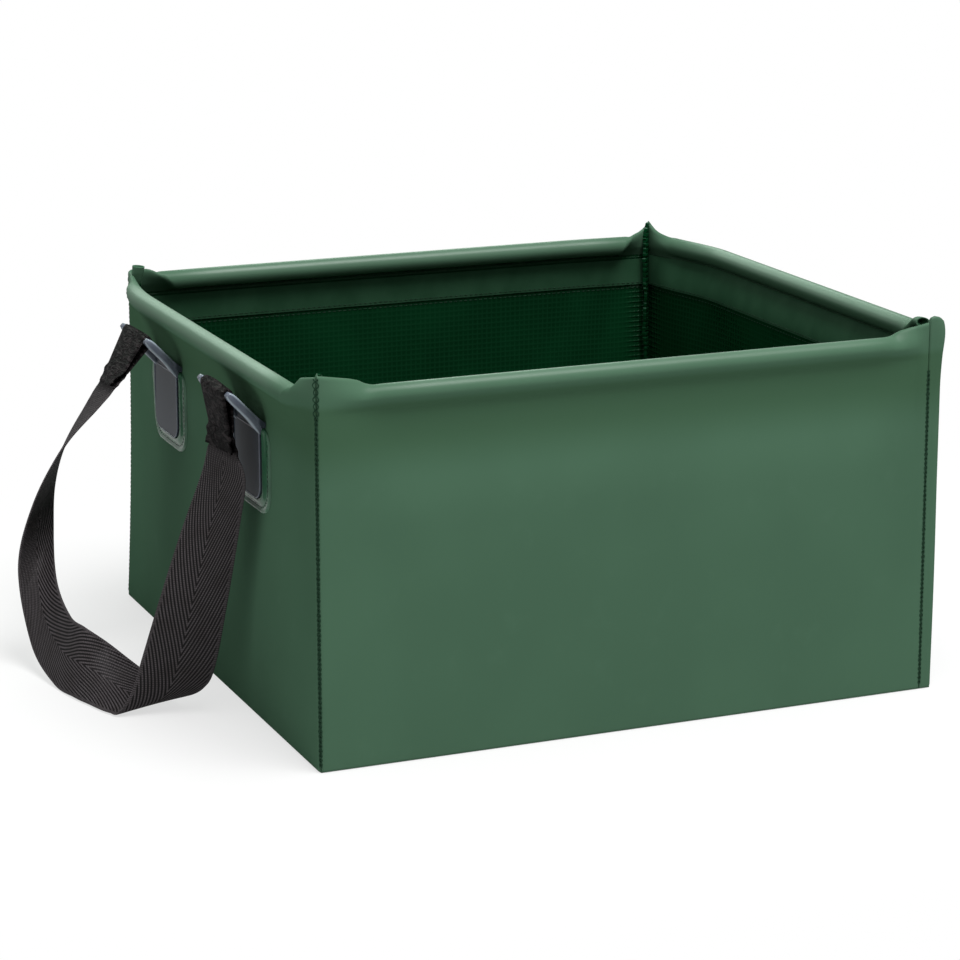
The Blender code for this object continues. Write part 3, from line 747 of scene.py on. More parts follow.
class Graph:
    """A short way to write the nodes of a material or of the world."""

    def __init__(self, owner):
        owner.use_nodes = True
        self.owner = owner
        self.nodes = owner.node_tree.nodes
        self.links = owner.node_tree.links

    def node(self, kind, **values):
        made = self.nodes.new(kind)
        for key, value in values.items():
            setattr(made, key, value)
        return made

    def feed(self, made, inputs):
        """Fill a node's inputs with links or values, and give its first output."""
        for key, value in inputs.items():
            if hasattr(value, "links"):
                self.links.new(value, made.inputs[key])
            else:
                made.inputs[key].default_value = value
        return made.outputs[0]

    def math(self, operation, first, second=0.0):
        return self.feed(self.node("ShaderNodeMath", operation=operation), {0: first, 1: second})

    def times(self, first, second):
        return self.math("MULTIPLY", first, second)

    def plus(self, first, second):
        return self.math("ADD", first, second)

    def wave(self, value, length):
        """A sine that repeats after a length."""
        return self.math("SINE", self.times(value, 2 * math.pi / length))

    def split(self, vector):
        made = self.node("ShaderNodeSeparateXYZ")
        self.feed(made, {0: vector})
        return made.outputs

    def on_cloth(self):
        """Cloth coordinates in metres."""
        attribute = self.node("ShaderNodeAttribute", attribute_name="cloth")
        self.vector = attribute.outputs["Vector"]
        self.along, self.up, self.from_seam = self.split(self.vector)
        return self

    def in_space(self):
        """The object's own coordinates."""
        self.vector = self.node("ShaderNodeTexCoord").outputs["Object"]
        return self

    def stretched(self, scale):
        return self.feed(self.node("ShaderNodeMapping"), {"Vector": self.vector, "Scale": scale})

    def noise(self, scale, detail=3.0, roughness=0.5, distortion=0.0, vector=None):
        values = {"Vector": self.vector if vector is None else vector, "Scale": scale}
        values.update({"Detail": detail, "Roughness": roughness, "Distortion": distortion})
        return self.feed(self.node("ShaderNodeTexNoise"), values)

    def ramp(self, value, low, high, to_low=0.0, to_high=1.0):
        values = {"Value": value, "From Min": low, "From Max": high}
        values.update({"To Min": to_low, "To Max": to_high})
        return self.feed(self.node("ShaderNodeMapRange", interpolation_type="SMOOTHSTEP"), values)

    def mix(self, share, first, second):
        made = self.node("ShaderNodeMix", data_type="RGBA")
        self.feed(made, {"Factor": share, 6: first, 7: second})
        return made.outputs[2]

    def clouds(self, noise, first, second):
        """Two colours in soft patches."""
        return self.mix(self.ramp(noise, 0.35, 0.65), first, second)

    def bump(self, height, distance, strength, normal=None):
        values = {"Height": height, "Distance": distance, "Strength": strength}
        if normal is not None:
            values["Normal"] = normal
        return self.feed(self.node("ShaderNodeBump"), values)

    def seen(self):
        """1 for rays from the camera and for what glossy and clear things show."""
        rays = self.node("ShaderNodeLightPath").outputs
        seen = self.math("MAXIMUM", rays["Is Camera Ray"], rays["Is Glossy Ray"])
        return self.math("MAXIMUM", seen, rays["Is Transmission Ray"])

    def finish(self, colour, roughness, normal=None, coat=0.0, coat_roughness=0.4):
        """Gloss comes from the coat alone, so that dull cloth stays dull at flat angles."""
        values = {"Base Color": colour, "Roughness": roughness, "Specular IOR Level": 0.0}
        values.update({"Coat Weight": coat, "Coat Roughness": coat_roughness})
        if normal is not None:
            values.update({"Normal": normal, "Coat Normal": normal})
        self.feed(self.nodes["Principled BSDF"], values)
        return self.owner


def new_graph(name):
    return Graph(bpy.data.materials.new(name))


def tarpaulin():
    """Satin coated cloth: fine pores, a faint weave under the coat, slow colour changes."""
    g = new_graph("tarpaulin_coated").on_cloth()
    handled = g.noise(55.0, 4.0, 0.6)
    colour = g.clouds(g.noise(9.0, 2.0), GREEN_DEEP, GREEN)
    colour = g.mix(g.ramp(handled, 0.55, 0.80, 0.0, 0.35), colour, GREEN_WORN)
    # painted shade: the cloth is a deeper green just under the hem, where the hem's shade falls
    under = g.times(g.ramp(g.up, 0.144, 0.170), g.ramp(g.up, 0.183, 0.187, 0.85, 0.0))
    colour = g.mix(under, colour, GREEN_PAINTED_HEM_SHADE)
    weave = g.times(g.wave(g.along, WEAVE_PITCH), g.wave(g.up, WEAVE_PITCH))
    height = g.plus(g.noise(2600.0, 2.0), g.times(weave, 0.10))
    normal = g.bump(handled, 0.25 * MM, 0.25, g.bump(height, 0.018 * MM, 0.8))
    # the round hem is polished by handling, but not its flat ends
    polish = g.ramp(g.up, 0.186, 0.197, 0.012, 0.50)
    coat = g.times(polish, g.ramp(g.from_seam, 22 * MM, 60 * MM, 0.25, 1.0))
    return g.finish(colour, g.ramp(handled, 0.3, 0.7, 0.50, 0.58), normal, coat, 0.36)


def scrim():
    """Glossy inner coat over a laid grid of yarns."""
    g = new_graph("scrim_inside").on_cloth()
    weft = g.ramp(g.math("PINGPONG", g.up, LAID_PITCH / 2), 0.10 * MM, 0.85 * MM, 1.0, 0.0)
    warp = g.ramp(g.math("PINGPONG", g.along, LAID_PITCH / 2), 0.10 * MM, 0.80 * MM, 1.0, 0.0)
    ripple = g.noise(120.0, 2.0)
    height = g.plus(weft, g.times(warp, 0.9))
    height = g.plus(height, g.times(g.wave(g.up, LAID_FINE_PITCH), 0.04))
    height = g.plus(height, g.times(ripple, 0.6))
    colour = g.clouds(g.noise(14.0), INSIDE_DEEP, INSIDE)
    colour = g.mix(g.times(g.math("MAXIMUM", weft, warp), 0.35), colour, INSIDE_YARN)
    seam = g.ramp(g.from_seam, 5 * MM, 20 * MM, 1.0, 0.12)
    normal = g.bump(g.times(height, seam), 0.42 * MM, 0.9)
    return g.finish(colour, g.ramp(ripple, 0.3, 0.7, 0.4, 0.5), normal, 0.32, 0.26)


def welded():
    """The tarpaulin's own green where it is pressed over a plate: glossier, with dimples."""
    g = new_graph("welded_border").on_cloth()
    slow = g.noise(60.0)
    normal = g.bump(g.noise(700.0, 2.0), 0.10 * MM, 0.8)
    colour = g.clouds(slow, WELD_DEEP, WELD)
    return g.finish(colour, g.ramp(slow, 0.3, 0.7, 0.34, 0.44), normal, 0.6, 0.22)


def facing_cloth():
    """Dull band of plain cloth."""
    g = new_graph("facing_cloth").on_cloth()
    slow = g.noise(30.0)
    fine = g.noise(1900.0, 2.0)
    normal = g.bump(slow, 0.8 * MM, 0.3, g.bump(fine, 0.03 * MM, 0.8))
    colour = g.clouds(slow, FACING_DEEP, FACING)
    return g.finish(colour, g.ramp(fine, 0.3, 0.7, 0.62, 0.75), normal, 0.08, 0.5)


def thread(name, dark, light):
    """Twisted sewing thread."""
    g = new_graph(name).on_cloth()
    twist = g.wave(g.plus(g.along, g.up), TWIST_PITCH)
    colour = g.mix(g.ramp(twist, -0.6, 0.9), dark, light)
    return g.finish(colour, 0.5, g.bump(twist, 0.05 * MM, 0.8), 0.12)


def raw_edge():
    """Cut cloth edges, where pale yarn ends show through the dark coat."""
    g = new_graph("raw_seam_edge").on_cloth()
    yarn = g.ramp(g.math("PINGPONG", g.up, LAID_PITCH / 2), 0.15 * MM, 0.6 * MM, 1.0, 0.0)
    grain = g.noise(900.0, 2.0)
    share = g.times(yarn, g.ramp(grain, 0.45, 0.7))
    # painted shade: fewer pale yarn ends show lower down, so the raw edges are darker towards the
    # bottom of the corner
    share = g.times(share, g.ramp(g.up, 0.120, 0.180, 0.35, 1.0))
    colour = g.mix(share, INSIDE, RAW_EDGE)
    return g.finish(colour, 0.5, g.bump(g.plus(yarn, grain), 0.15 * MM, 0.8))


def webbing():
    """Black herringbone webbing with a dense edge; the doubled ends are crumpled."""
    g = new_graph("webbing_herringbone").on_cloth()
    across, along = g.along, g.up
    away = g.math("ABSOLUTE", across)
    rib = g.ramp(g.wave(g.plus(away, g.times(along, RIB_SLANT)), RIB_PITCH), -0.5, 0.7)
    dotted = g.ramp(g.wave(along, DOT_PITCH), -0.9, 0.4, 0.45, 1.0)
    edge = g.ramp(away, 17.0 * MM, 17.8 * MM)
    selvedge = g.ramp(g.wave(along, SELVEDGE_PITCH), -0.6, 0.6, 0.2, 0.9)
    ribs = g.times(g.times(rib, dotted), g.math("SUBTRACT", 1.0, edge))
    height = g.plus(ribs, g.times(selvedge, edge))
    doubled = g.node("ShaderNodeAttribute", attribute_name="doubled").outputs["Fac"]
    crumple = g.noise(1.0, 3.0, 0.55, 1.2, g.stretched((110.0, 330.0, 1.0)))
    grime = g.ramp(g.noise(80.0, 4.0, 0.6), 0.4, 0.75, 0.0, 0.5)
    # painted glint: the raised ribs and selvedge are lighter, less so where grime lies
    colour = g.mix(height, BLACK, g.mix(grime, PAINTED_RIB_GLINT, WORN_PAINTED_RIB_GLINT))
    # painted shade and light on the doubled ends: darker in the crumple's hollows, lighter on its
    # crests
    colour = g.mix(doubled, colour, g.mix(g.ramp(crumple, 0.44, 0.68), BLACK_PAINTED_FOLD_SHADE, BLACK_PAINTED_CRINKLE_LIGHT))
    crumpled = g.times(crumple, g.plus(0.08, doubled))
    normal = g.bump(crumpled, 3.6 * MM, 1.0, g.bump(height, 0.22 * MM, 0.9))
    return g.finish(colour, g.ramp(height, 0.0, 1.0, 0.66, 0.46), normal, 0.10, 0.35)


def loop_plastic():
    """Smoky moulded elastomer, darker in the plates and paler where it is thin."""
    g = new_graph("loop_elastomer").in_space()
    x, _, z = g.split(g.vector)
    arm = g.ramp(g.math("ABSOLUTE", x), HALF_X + 2.6 * MM, HALF_X + 5.0 * MM)
    fine = g.noise(1500.0, 2.0)
    # painted shade: the plate is darker towards its top
    plate = g.mix(g.ramp(z, PATCH_BOTTOM, PATCH_TOP, 1.0, 0.0), PLATE_DARK, PLATE_PALE)
    colour = g.mix(arm, plate, g.clouds(g.noise(45.0, 2.0), LOOP, LOOP_PALE))
    # painted sheen: the arms turn paler where they are seen edge-on
    layer = g.node("ShaderNodeLayerWeight")
    g.feed(layer, {"Blend": 0.35})
    colour = g.mix(g.times(layer.outputs["Facing"], g.times(arm, 0.5)), colour, LOOP_PAINTED_EDGE_SHEEN)
    normal = g.bump(fine, 0.01 * MM, 0.6)
    return g.finish(colour, g.ramp(fine, 0.3, 0.7, 0.36, 0.44), normal, 0.22, 0.2)


def loop_arms():
    """The same elastomer in a thin strip: smoky in its middle, with a painted highlight along its
    edges.
    """
    g = new_graph("arm_elastomer").on_cloth()
    corner = g.math("ABSOLUTE", g.times(g.along, g.up))
    g.in_space()
    cloud = g.noise(90.0)
    # painted highlight along the strip's rounded edges
    edge = g.times(g.ramp(corner, 0.42, 0.72), 0.8)
    colour = g.mix(edge, g.clouds(cloud, LOOP, LOOP_PALE), ARM_PAINTED_EDGE_HIGHLIGHT)
    normal = g.bump(g.noise(1500.0, 2.0), 0.01 * MM, 0.6)
    return g.finish(colour, g.ramp(cloud, 0.3, 0.7, 0.34, 0.44), normal, 0.45, 0.2)


def rod_fibre():
    """Pulled glass-fibre rod: streaks along its length."""
    g = new_graph("rod_fibre").on_cloth()
    streak = g.noise(1.0, 4.0, vector=g.stretched((30.0, 900.0, 900.0)))
    return g.finish(g.clouds(streak, ROD, ROD_STREAK), 0.4, g.bump(streak, 0.05 * MM, 0.5))


TARPAULIN = tarpaulin()
SCRIM = scrim()
WELDED = welded()
FACING_CLOTH = facing_cloth()
SEAM_THREAD = thread("seam_thread", THREAD_DARK, THREAD_LIGHT)
FACING_THREAD = thread("facing_thread", FACING_THREAD_DARK, FACING_THREAD_LIGHT)
EDGE = raw_edge()
WEBBING_MATERIAL = webbing()
LOOP_MATERIAL = loop_plastic()
ARM_MATERIAL = loop_arms()
ROD_MATERIAL = rod_fibre()


def bend_between(wall, piece, below, above, low, high):
    """Bake a piece's place into its mesh; it is not bent, and the wall, bodies and heights are not
    used.
    """
    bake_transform(piece)


def hang_from_rim(wall, piece):
    """Cloth just under the rim, on its wall's upper body, or left unattached on the front wall; the
    other walls' rim folds are not joints.
    """
    if wall.name == "front":
        bend_between(wall, piece, "front_upper", "rim", RIM_BEND_Z, HINGE_Z)
    else:
        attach(piece, wall.name + "_upper")


def press_down(piece):
    """Give a piece its own copy of its mesh."""
    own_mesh(piece)


def add_facing(shape, wall, low, high, rows, kind):
    """A strip of the facing between two heights."""
    reach = wall.reach - FACING_END
    u = np.linspace(-reach, reach, 90)
    z = np.linspace(low, high, rows)
    inside = sheet(wall, u, z, FACING_INNER)
    outside = sheet(wall, u, z, FACING_OUTER)
    cloth = cloth_grid(u, z, wall.reach)
    shape.add_slab(outside, inside, cloth, grid_normals(inside), (kind, kind, kind))


def neck(wall, u):
    """The top of a short wall's cloth and facing, as a piece of its own on the rim."""
    shape = Shape()
    z = np.linspace(NECK_Z, HINGE_Z, NECK_ROWS + 1)
    outer = sheet(wall, u, z, 0.0)
    inner = sheet(wall, u, z, CLOTH)
    shape.add_slab(outer, inner, cloth_grid(u, z, wall.reach), grid_normals(outer))
    add_facing(shape, wall, NECK_Z, FACING_TOP_Z, NECK_ROWS + 1, 2)
    materials = [TARPAULIN, SCRIM, FACING_CLOTH]
    piece = shape.build(wall.name + "_neck", materials, "rim")
    press_down(piece)


def wall_pieces(wall):
    """The main panels of a wall. Gives the halves of its corner posts, and its heights."""
    u = columns(wall)
    z = np.array(FOOT_ROWS + CREASE_ROWS[1:] + TOP_ROWS[1:])
    outer = sheet(wall, u, z, 0.0)
    inner = sheet(wall, u, z, CLOTH)
    grids = (outer, inner, cloth_grid(u, z, wall.reach), grid_normals(outer))
    post = int(np.argmin(np.abs(end_distances(wall) - POST_WIDTH)))
    foot = len(FOOT_ROWS) - 1
    crease = foot + len(CREASE_ROWS) - 1
    last = len(z) - 1 if wall.long else len(z) - 1 - NECK_ROWS
    middle = slice(post, len(u) - post)
    lower, upper = wall.name + "_lower", wall.name + "_upper"
    made = []
    for part, low, high, replaced in (
        ("foot", 0, foot, wall.name + "_wall_lower"),
        ("crease", foot, crease, None),
        ("top", crease, last, wall.name + "_wall_upper"),
    ):
        shape = Shape()
        shape.add_slab(*(grid[middle, low : high + 1] for grid in grids))
        name = wall.name + "_wall_" + part
        made.append(shape.build(name, [TARPAULIN, SCRIM], None, replaced))
    if not wall.long:
        neck(wall, u[middle])
    bend_between(wall, made[0], "base", lower, *FOOT_BEND)
    bend_between(wall, made[1], lower, upper, CREASE_Z - CREASE_HALF, CREASE_Z + CREASE_HALF)
    hang_from_rim(wall, made[2])
    parts = corner_columns(wall, len(u), post)
    return {corner: [grid[cols] for grid in grids] for corner, cols in parts.items()}, z


def seam_point(corner, z, depth=0.0):
    """Points on a corner's seam line, and the horizontal direction to the inside."""
    wall = ENDING_AT[corner]
    turn = bend_angle(wall, corner)
    inward = -(math.cos(turn) * wall.normal + math.sin(turn) * STARTING_AT[corner].normal)
    points = place(wall, np.full(z.shape, wall.reach), depth, z)
    return points, np.array([*inward, 0.0])


def add_thread(shape, path, outward, radius):
    """A round thread along a path, with the outward direction at each point."""
    ahead = unit(np.gradient(path, axis=0))
    aside = unit(np.cross(ahead, outward))
    lift = np.cross(aside, ahead)
    angles = round_angles(6)[None, :, None]
    grid = path[:, None] + radius * (np.cos(angles) * aside[:, None] + np.sin(angles) * lift[:, None])
    cloth = np.zeros_like(grid)
    cloth[..., 0] = distances(path)[:, None]
    cloth[..., 1] = radius * angles[..., 0]
    shape.add_tube(grid, cloth, turned=True)


def seam_stitches(name, corner, body, low, high, seed, chain):
    """The chain of thread over the groove of a corner seam."""
    link, half_width = chain
    rng = np.random.default_rng(seed)
    z = np.arange(low, high, link / 8)
    points, inward = seam_point(corner, z)
    aside = np.array([-inward[1], inward[0], 0.0])
    number = ((z - low) / link).astype(int)
    uneven = 1 + 0.12 * rng.normal(0, 1, number.max() + 1)[number]
    oval = 0.15 + 0.85 * np.abs(np.sin(np.pi * (z - low) / link))
    shape = Shape()
    for side in (-1, 1):
        away = side * half_width * uneven * oval
        path = points + away[:, None] * aside - inward * SEAM_THREAD_OUT
        add_thread(shape, path, np.tile(-inward, (len(z), 1)), SEAM_THREAD_RADIUS)
    return shape.build("corner_stitches_" + name, [SEAM_THREAD], body)


def seam_fin(name, corner, body, z, number, taper=1.0, replaced=None):
    """The two raw edges of cloth sewn together on the inside of a corner."""
    rng = np.random.default_rng(70 + number)
    ragged = rng.normal(0, 0.18 * MM, len(z))
    ripple = 0.5 * MM * np.sin(z * 160 + number) + 0.25 * MM * np.sin(z * 410)
    points, inward = seam_point(corner, z, CLOTH)
    aside = np.array([-inward[1], inward[0], 0.0])
    length = (np.full(len(z), FIN_LENGTH) + ragged) * taper
    across = np.array([0.0, 0.25, 0.6, 1.0])
    sway = ripple[:, None] * across**2
    base = points[:, None, :] + (across * length[:, None])[..., None] * inward
    cloth = cloth_grid(z, across * FIN_LENGTH)[..., [1, 0, 2]]
    shape = Shape()
    for layer in (-1, 1):
        near = layer * FIN_GAP + sway
        far = layer * (FIN_CLOTH + FIN_GAP * (1 + across * 3)) + sway
        faces = [base + away[..., None] * aside for away in (near, far)]
        normals = np.broadcast_to(-aside, base.shape)
        shape.add_slab(*faces[::layer], cloth, normals, (0, 0, 1))
    return shape.build("seam_allowance_" + name, [SCRIM, EDGE], body, replaced)


def corner_posts(halves, heights):
    """The narrow cloth at each corner seam, in a lower half on the base and an upper half on the rim.
    """
    split = int(np.argmin(np.abs(heights - CREASE_Z)))
    spans = (("lower", 0, split, "base", 2 * MM), ("upper", split, len(heights) - 1, "rim", HINGE_Z))
    for number, (corner, parts) in enumerate(halves.items()):
        for half, low, high, body, anchor in spans:
            name = corner + "_" + half
            shape = Shape()
            for part in parts:
                shape.add_slab(*(grid[:, low : high + 1] for grid in part))
            post = shape.build("corner_post_" + name, [TARPAULIN, SCRIM], body)
            bottom = max(heights[low], 3 * MM)
            top = min(heights[high], SEAM_TOP.get(corner, HINGE_Z))
            stitches = seam_stitches(name, corner, body, bottom, top, 40 + number, SEAM_CHAIN)
            z = np.linspace(max(heights[low], 2.5 * MM), heights[high], FIN_ROWS)
            fin = seam_fin(name, corner, body, z, number, replaced="corner_seam_" + name)
            for piece in (post, stitches, fin):
                press_down(piece)


def hem_pieces(wall):
    """The hem's tube, and the halves of its ears, returned by corner."""
    u = columns(wall)
    depth, height = hem_rows(wall, u)
    grid = place(wall, u[:, None], depth, height)
    steps = np.linspace(0, 1, HEM_ROWS) * HEM_GIRTH + HINGE_Z
    grids = (grid, cloth_grid(u, steps, wall.reach), grid_normals(grid))
    stop = len(end_distances(wall)) - 1
    shape = Shape()
    shape.add_tube(*(values[stop : len(u) - stop] for values in grids))
    shape.build(wall.name + "_hem", [TARPAULIN], "rim", wall.name + "_hem_sleeve")
    parts = corner_columns(wall, len(u), stop)
    return {corner: [values[cols] for values in grids] for corner, cols in parts.items()}


def rim_corners(halves):
    """The ears, with the seam's doubled stitches outside and its raw edges inside."""
    for number, (corner, parts) in enumerate(halves.items()):
        name = corner + "_rim"
        shape = Shape()
        for part in parts:
            shape.add_tube(*part)
        shape.build("ear_" + corner, [TARPAULIN], "rim", "rim_corner_" + corner)
        profile = EARS_MM[corner, ENDING_AT[corner].name][2]
        tip = HEM_Z + HEM_RADIUS + profile[0][1] * MM
        if corner not in SEAM_TOP:
            seam_stitches(name, corner, "rim", HINGE_Z, tip - 2.5 * MM, 50 + number, RIM_CHAIN)
        z = np.linspace(HINGE_Z, tip - 1.0 * MM, 24)
        rise = (z - HINGE_Z) / (tip - HINGE_Z)
        seam_fin(name, corner, "rim", z, 10 + number, 1.0 - 0.45 * rise**2)


def cloth_roll(corner, stations):
    """A loose roll at a hem's end, with cloth of its own thickness and an open mouth."""
    end, side = corner.split("_")
    x_sign = -1 if side == "left" else 1
    y_sign = -1 if end == "front" else 1
    x_in, y_in, height, thick = between_stations(np.array(stations) * MM, 28).T
    centre = np.stack([x_sign * (HALF_X - x_in), y_sign * (HALF_Y - y_in), height], axis=1)
    ahead = unit(np.gradient(centre, axis=0))
    upright = abs(ahead[0, 2]) > 0.7
    aside = unit(np.cross(ahead, [0.0, -1.0, 0.0] if upright else [0.0, 0.0, 1.0]))
    rise = np.cross(aside, ahead)
    angles = round_angles(20)
    grids = []
    # the cloth is rolled up tight a little way behind the open mouth
    funnel = np.clip(np.arange(len(centre)) / ROLL_MOUTH_ROWS, 0, 1)
    for less, narrowing in ((0.0, 0.0), (ROLL_CLOTH, 0.9)):
        radius = np.maximum((thick - less) * (1 - narrowing * funnel), 0.3 * MM)
        # a roll is never quite round: its lap makes a small step
        lap = radius[:, None] * (1 + 0.10 * np.cos(2 * angles + 0.6))
        across = (lap * np.cos(angles))[..., None] * aside[:, None]
        along_rise = (0.82 * lap * np.sin(angles))[..., None] * rise[:, None]
        grids.append(centre[:, None] + across + along_rise)
    cloth = np.zeros_like(grids[0])
    cloth[..., 0] = np.arange(len(centre))[:, None] * 1.2 * MM
    cloth[..., 1] = HEM_Z + 3.0 * MM * angles
    shape = Shape()
    outer, rows, count = shape.add_grid(grids[0], cloth, 0, closed=True)
    inner = shape.add_grid(grids[1], cloth, 1, True, closed=True)[0]
    for row in (0, rows - 1):
        for j in range(count):
            here = row * count + j
            after = row * count + (j + 1) % count
            shape.faces.append([outer + here, outer + after, inner + after, inner + here])
            shape.kinds.append(0)
    turn_outward(shape.build("hem_roll_" + corner, [TARPAULIN, FACING_CLOTH], "rim"))


def add_stitch(shape, start, end, normal, radius, cloth_at):
    """One stitch: a short round thread between two points, arched away from the cloth."""
    length = np.linalg.norm(end - start)
    ahead = (end - start) / length
    aside = unit(np.cross(ahead, normal))
    lift = np.cross(aside, ahead)
    rings = []
    for t in (0.0, 0.08, 0.3, 0.7, 0.92, 1.0):
        swell = math.sin(math.pi * min(max(t, 0.03), 0.97)) ** 0.5
        centre = start + ahead * length * t + lift * radius * (0.7 * swell - 0.5)
        angles = round_angles(6)[:, None]
        rings.append(centre + radius * swell * (np.cos(angles) * aside + np.sin(angles) * lift))
    grid = np.array(rings)
    cloth = np.zeros_like(grid)
    cloth[..., 0] = cloth_at[0] + np.linspace(0, length, len(rings))[:, None]
    cloth[..., 1] = cloth_at[1]
    shape.add_tube(grid, cloth, turned=True)


def stitch_line(shape, points, normals, radius, seed, pitch=STITCH_PITCH):
    """Stitches along a dense path, one each pitch."""
    rng = np.random.default_rng(seed)
    length = distances(points)
    stitch = pitch * STITCH_LENGTH / STITCH_PITCH

    def at(distance, values):
        return np.array([np.interp(distance, length, column) for column in values.T])

    for index in range(int(length[-1] / pitch)):
        begin = index * pitch + rng.normal(0, STITCH_JITTER)
        end = begin + stitch
        normal = at((begin + end) / 2, normals)
        add_stitch(shape, at(begin, points), at(end, points), normal, radius, (begin, index * MM))


def facings(wall):
    """The band sewn inside under the hem, and the two rows of stitches that hold it."""
    tops = {"front": FACING_TOP_Z, "back": FACING_TOP_BACK_Z}
    shape = Shape()
    add_facing(shape, wall, FACING_BOTTOM_Z, tops.get(wall.name, NECK_Z), 12, 0)
    name = wall.name + "_facing"
    piece = shape.build(name, [FACING_CLOTH], None, wall.name + "_hem_facing")
    hang_from_rim(wall, piece)
    threads = Shape()
    reach = wall.reach - FACING_END - 2 * MM
    path = np.linspace(-reach, reach, 300)
    rows = ((FACING_BOTTOM_Z + 1.3 * MM, FACING_INNER), (FACING_BOTTOM_Z - 2.2 * MM, CLOTH))
    for number, (height, depth) in enumerate(rows):
        points = skin(wall, path, height, depth)
        stitch_line(threads, points, -wall.outward(len(path)), THREAD, 11 + number)
    threads.build(name + "_stitches", [FACING_THREAD], wall.name + "_upper")


def base_cloth():
    """The floor of the bucket: cloth outside, glossy scrim inside."""
    reach_x = HALF_X - CLOTH - 0.15 * MM
    reach_y = HALF_Y - CLOTH - 0.15 * MM
    cloth = cloth_grid(np.linspace(-reach_x, reach_x, 90), np.linspace(-reach_y, reach_y, 86))
    x, y = cloth[..., 0], cloth[..., 1]
    calm = (1 - (x / reach_x) ** 6) * (1 - (y / reach_y) ** 6)
    swell = 0.22 * MM * calm * (np.sin(x * 33 + 1) * np.sin(y * 27 + 2) + 1)
    top = np.stack([x, y, 1.15 * MM + swell], axis=-1)
    under = np.stack([x, y, np.full_like(x, 0.05 * MM)], axis=-1)
    shape = Shape()
    shape.add_slab(top, under, cloth, grid_normals(top), (1, 0, 0))
    shape.build("base_cloth", [TARPAULIN, SCRIM], "base", "bottom_panel")


def patch_path(share, steps=14):
    """(along, height) points round a patch, share 0 on its outer edge, 1 on its window."""
    side = PATCH_WIDTH / 2 - PATCH_SIDE * share
    foot = PATCH_BOTTOM + PATCH_FOOT * share
    corner = PATCH_CORNER - PATCH_SIDE / 2 * share
    points = [(-side, height) for height in np.linspace(PATCH_TOP, foot + corner, 18)[:-1]]
    for centre, first in ((-side + corner, 180), (side - corner, 270)):
        for step in range(steps + 1):
            angle = math.radians(first + 90 * step / steps)
            points.append((centre + corner * math.cos(angle), foot + corner * (1 + math.sin(angle))))
        if first == 180:
            points += [(x, foot) for x in np.linspace(-side + corner, side - corner, 14)[1:-1]]
    points += [(side, height) for height in np.linspace(foot + corner, PATCH_TOP, 18)[1:]]
    points = np.array(points)
    # the border's two upper ends are rounded off towards the window
    rise = np.clip(1 - (PATCH_TOP - points[:, 1]) / PATCH_SHOULDER, 0, 1)
    window = PATCH_WIDTH / 2 - PATCH_SIDE
    drawn = 0.88 * (1 - np.sqrt(1 - rise**2)) * (np.abs(points[:, 0]) > window)
    points[:, 0] -= np.sign(points[:, 0]) * (np.abs(points[:, 0]) - window) * drawn
    return points


def anchor_patch(wall, end, centre_u):
    """The welded border that holds a loop's plate, with its stitches and the plate's bead."""
    name = wall.name + "_" + end
    body = wall.name + "_upper"
    rng = np.random.default_rng(90 + len(PIECES))
    paths = np.array([patch_path(share) for share, _ in PATCH_SECTION])
    u = paths[..., 0].T + centre_u
    z = paths[..., 1].T
    lumps = rng.normal(0, 1, u.shape)
    soften(lumps)
    rise = np.array([height for _, height in PATCH_SECTION]) * MM
    raised = rise + 0.07 * MM * lumps * (rise > 0.5 * MM)
    shape = Shape()
    top = skin(wall, u, z, -raised)
    under = skin(wall, u, z, -0.02 * MM)
    shape.add_slab(top, under, np.stack([u, z, np.zeros_like(u)], axis=-1), kinds=(0, 0, 0))
    turn_outward(shape.build("patch_" + name, [WELDED], body, "anchor_patch_" + name))

    threads = Shape()
    path = patch_path(PATCH_STITCH_SHARE, 20)[3:-3]
    height = float(np.interp(PATCH_STITCH_SHARE, *np.array(PATCH_SECTION).T)) * MM
    points = skin(wall, path[:, 0] + centre_u, path[:, 1], -height)
    stitch_line(threads, points, wall.outward(len(points)), PATCH_THREAD, 60, PATCH_PITCH)
    threads.build("patch_stitches_" + name, [SEAM_THREAD], body)

    bead = Shape()
    edge = patch_path(BEAD_SHARE)[2:-2]
    head = np.stack([np.linspace(-PLATE_HALF, PLATE_HALF, 20), np.full(20, PLATE_HEAD)], axis=1)
    for line in (edge, head):
        points = skin(wall, line[:, 0] + centre_u, line[:, 1], -PLATE_FACE)
        add_thread(bead, points, wall.outward(len(points)), BEAD_RADIUS)
    bead.build("plate_bead_" + name, [ARM_MATERIAL], body)


def loop_arm(wall, sign, end, centre_y, arm_sign):
    """The thick arm that joins a loop's plate to its bar, over the solid's slim one."""
    rows = between_stations(np.array(ARM_MM), 40)
    soften(rows)
    out, height, inner, outer, thickness = (rows * MM).T[..., None]
    ahead = unit(np.gradient(rows[:, :2] * MM, axis=0))
    angles = round_angles(20)
    wide = np.sign(np.cos(angles)) * np.abs(np.cos(angles)) ** 0.35
    thick = np.sign(np.sin(angles)) * np.abs(np.sin(angles)) ** 0.75
    x = sign * (HALF_X + out - ahead[:, 1, None] * thick * thickness / 2)
    y = centre_y + arm_sign * ((outer + inner) / 2 + (outer - inner) / 2 * wide)
    z = height + ahead[:, 0, None] * thick * thickness / 2
    cloth = np.zeros(x.shape + (3,))
    cloth[..., 0] = wide
    cloth[..., 1] = thick
    shape = Shape()
    shape.add_tube(np.stack([x, y, z], axis=-1), cloth)
    name = "_".join(("loop_arm", wall.name, end, "front" if arm_sign < 0 else "back"))
    turn_outward(shape.build(name, [ARM_MATERIAL], wall.name + "_upper"))


def catmull_rom(points, index, share):
    before = points[max(index - 1, 0)]
    start = points[index]
    end = points[index + 1]
    after = points[min(index + 2, len(points) - 1)]
    return 0.5 * (
        2 * start
        + (end - before) * share
        + (2 * before - 5 * start + 4 * end - after) * share**2
        + (3 * start - before - 3 * end + after) * share**3
    )


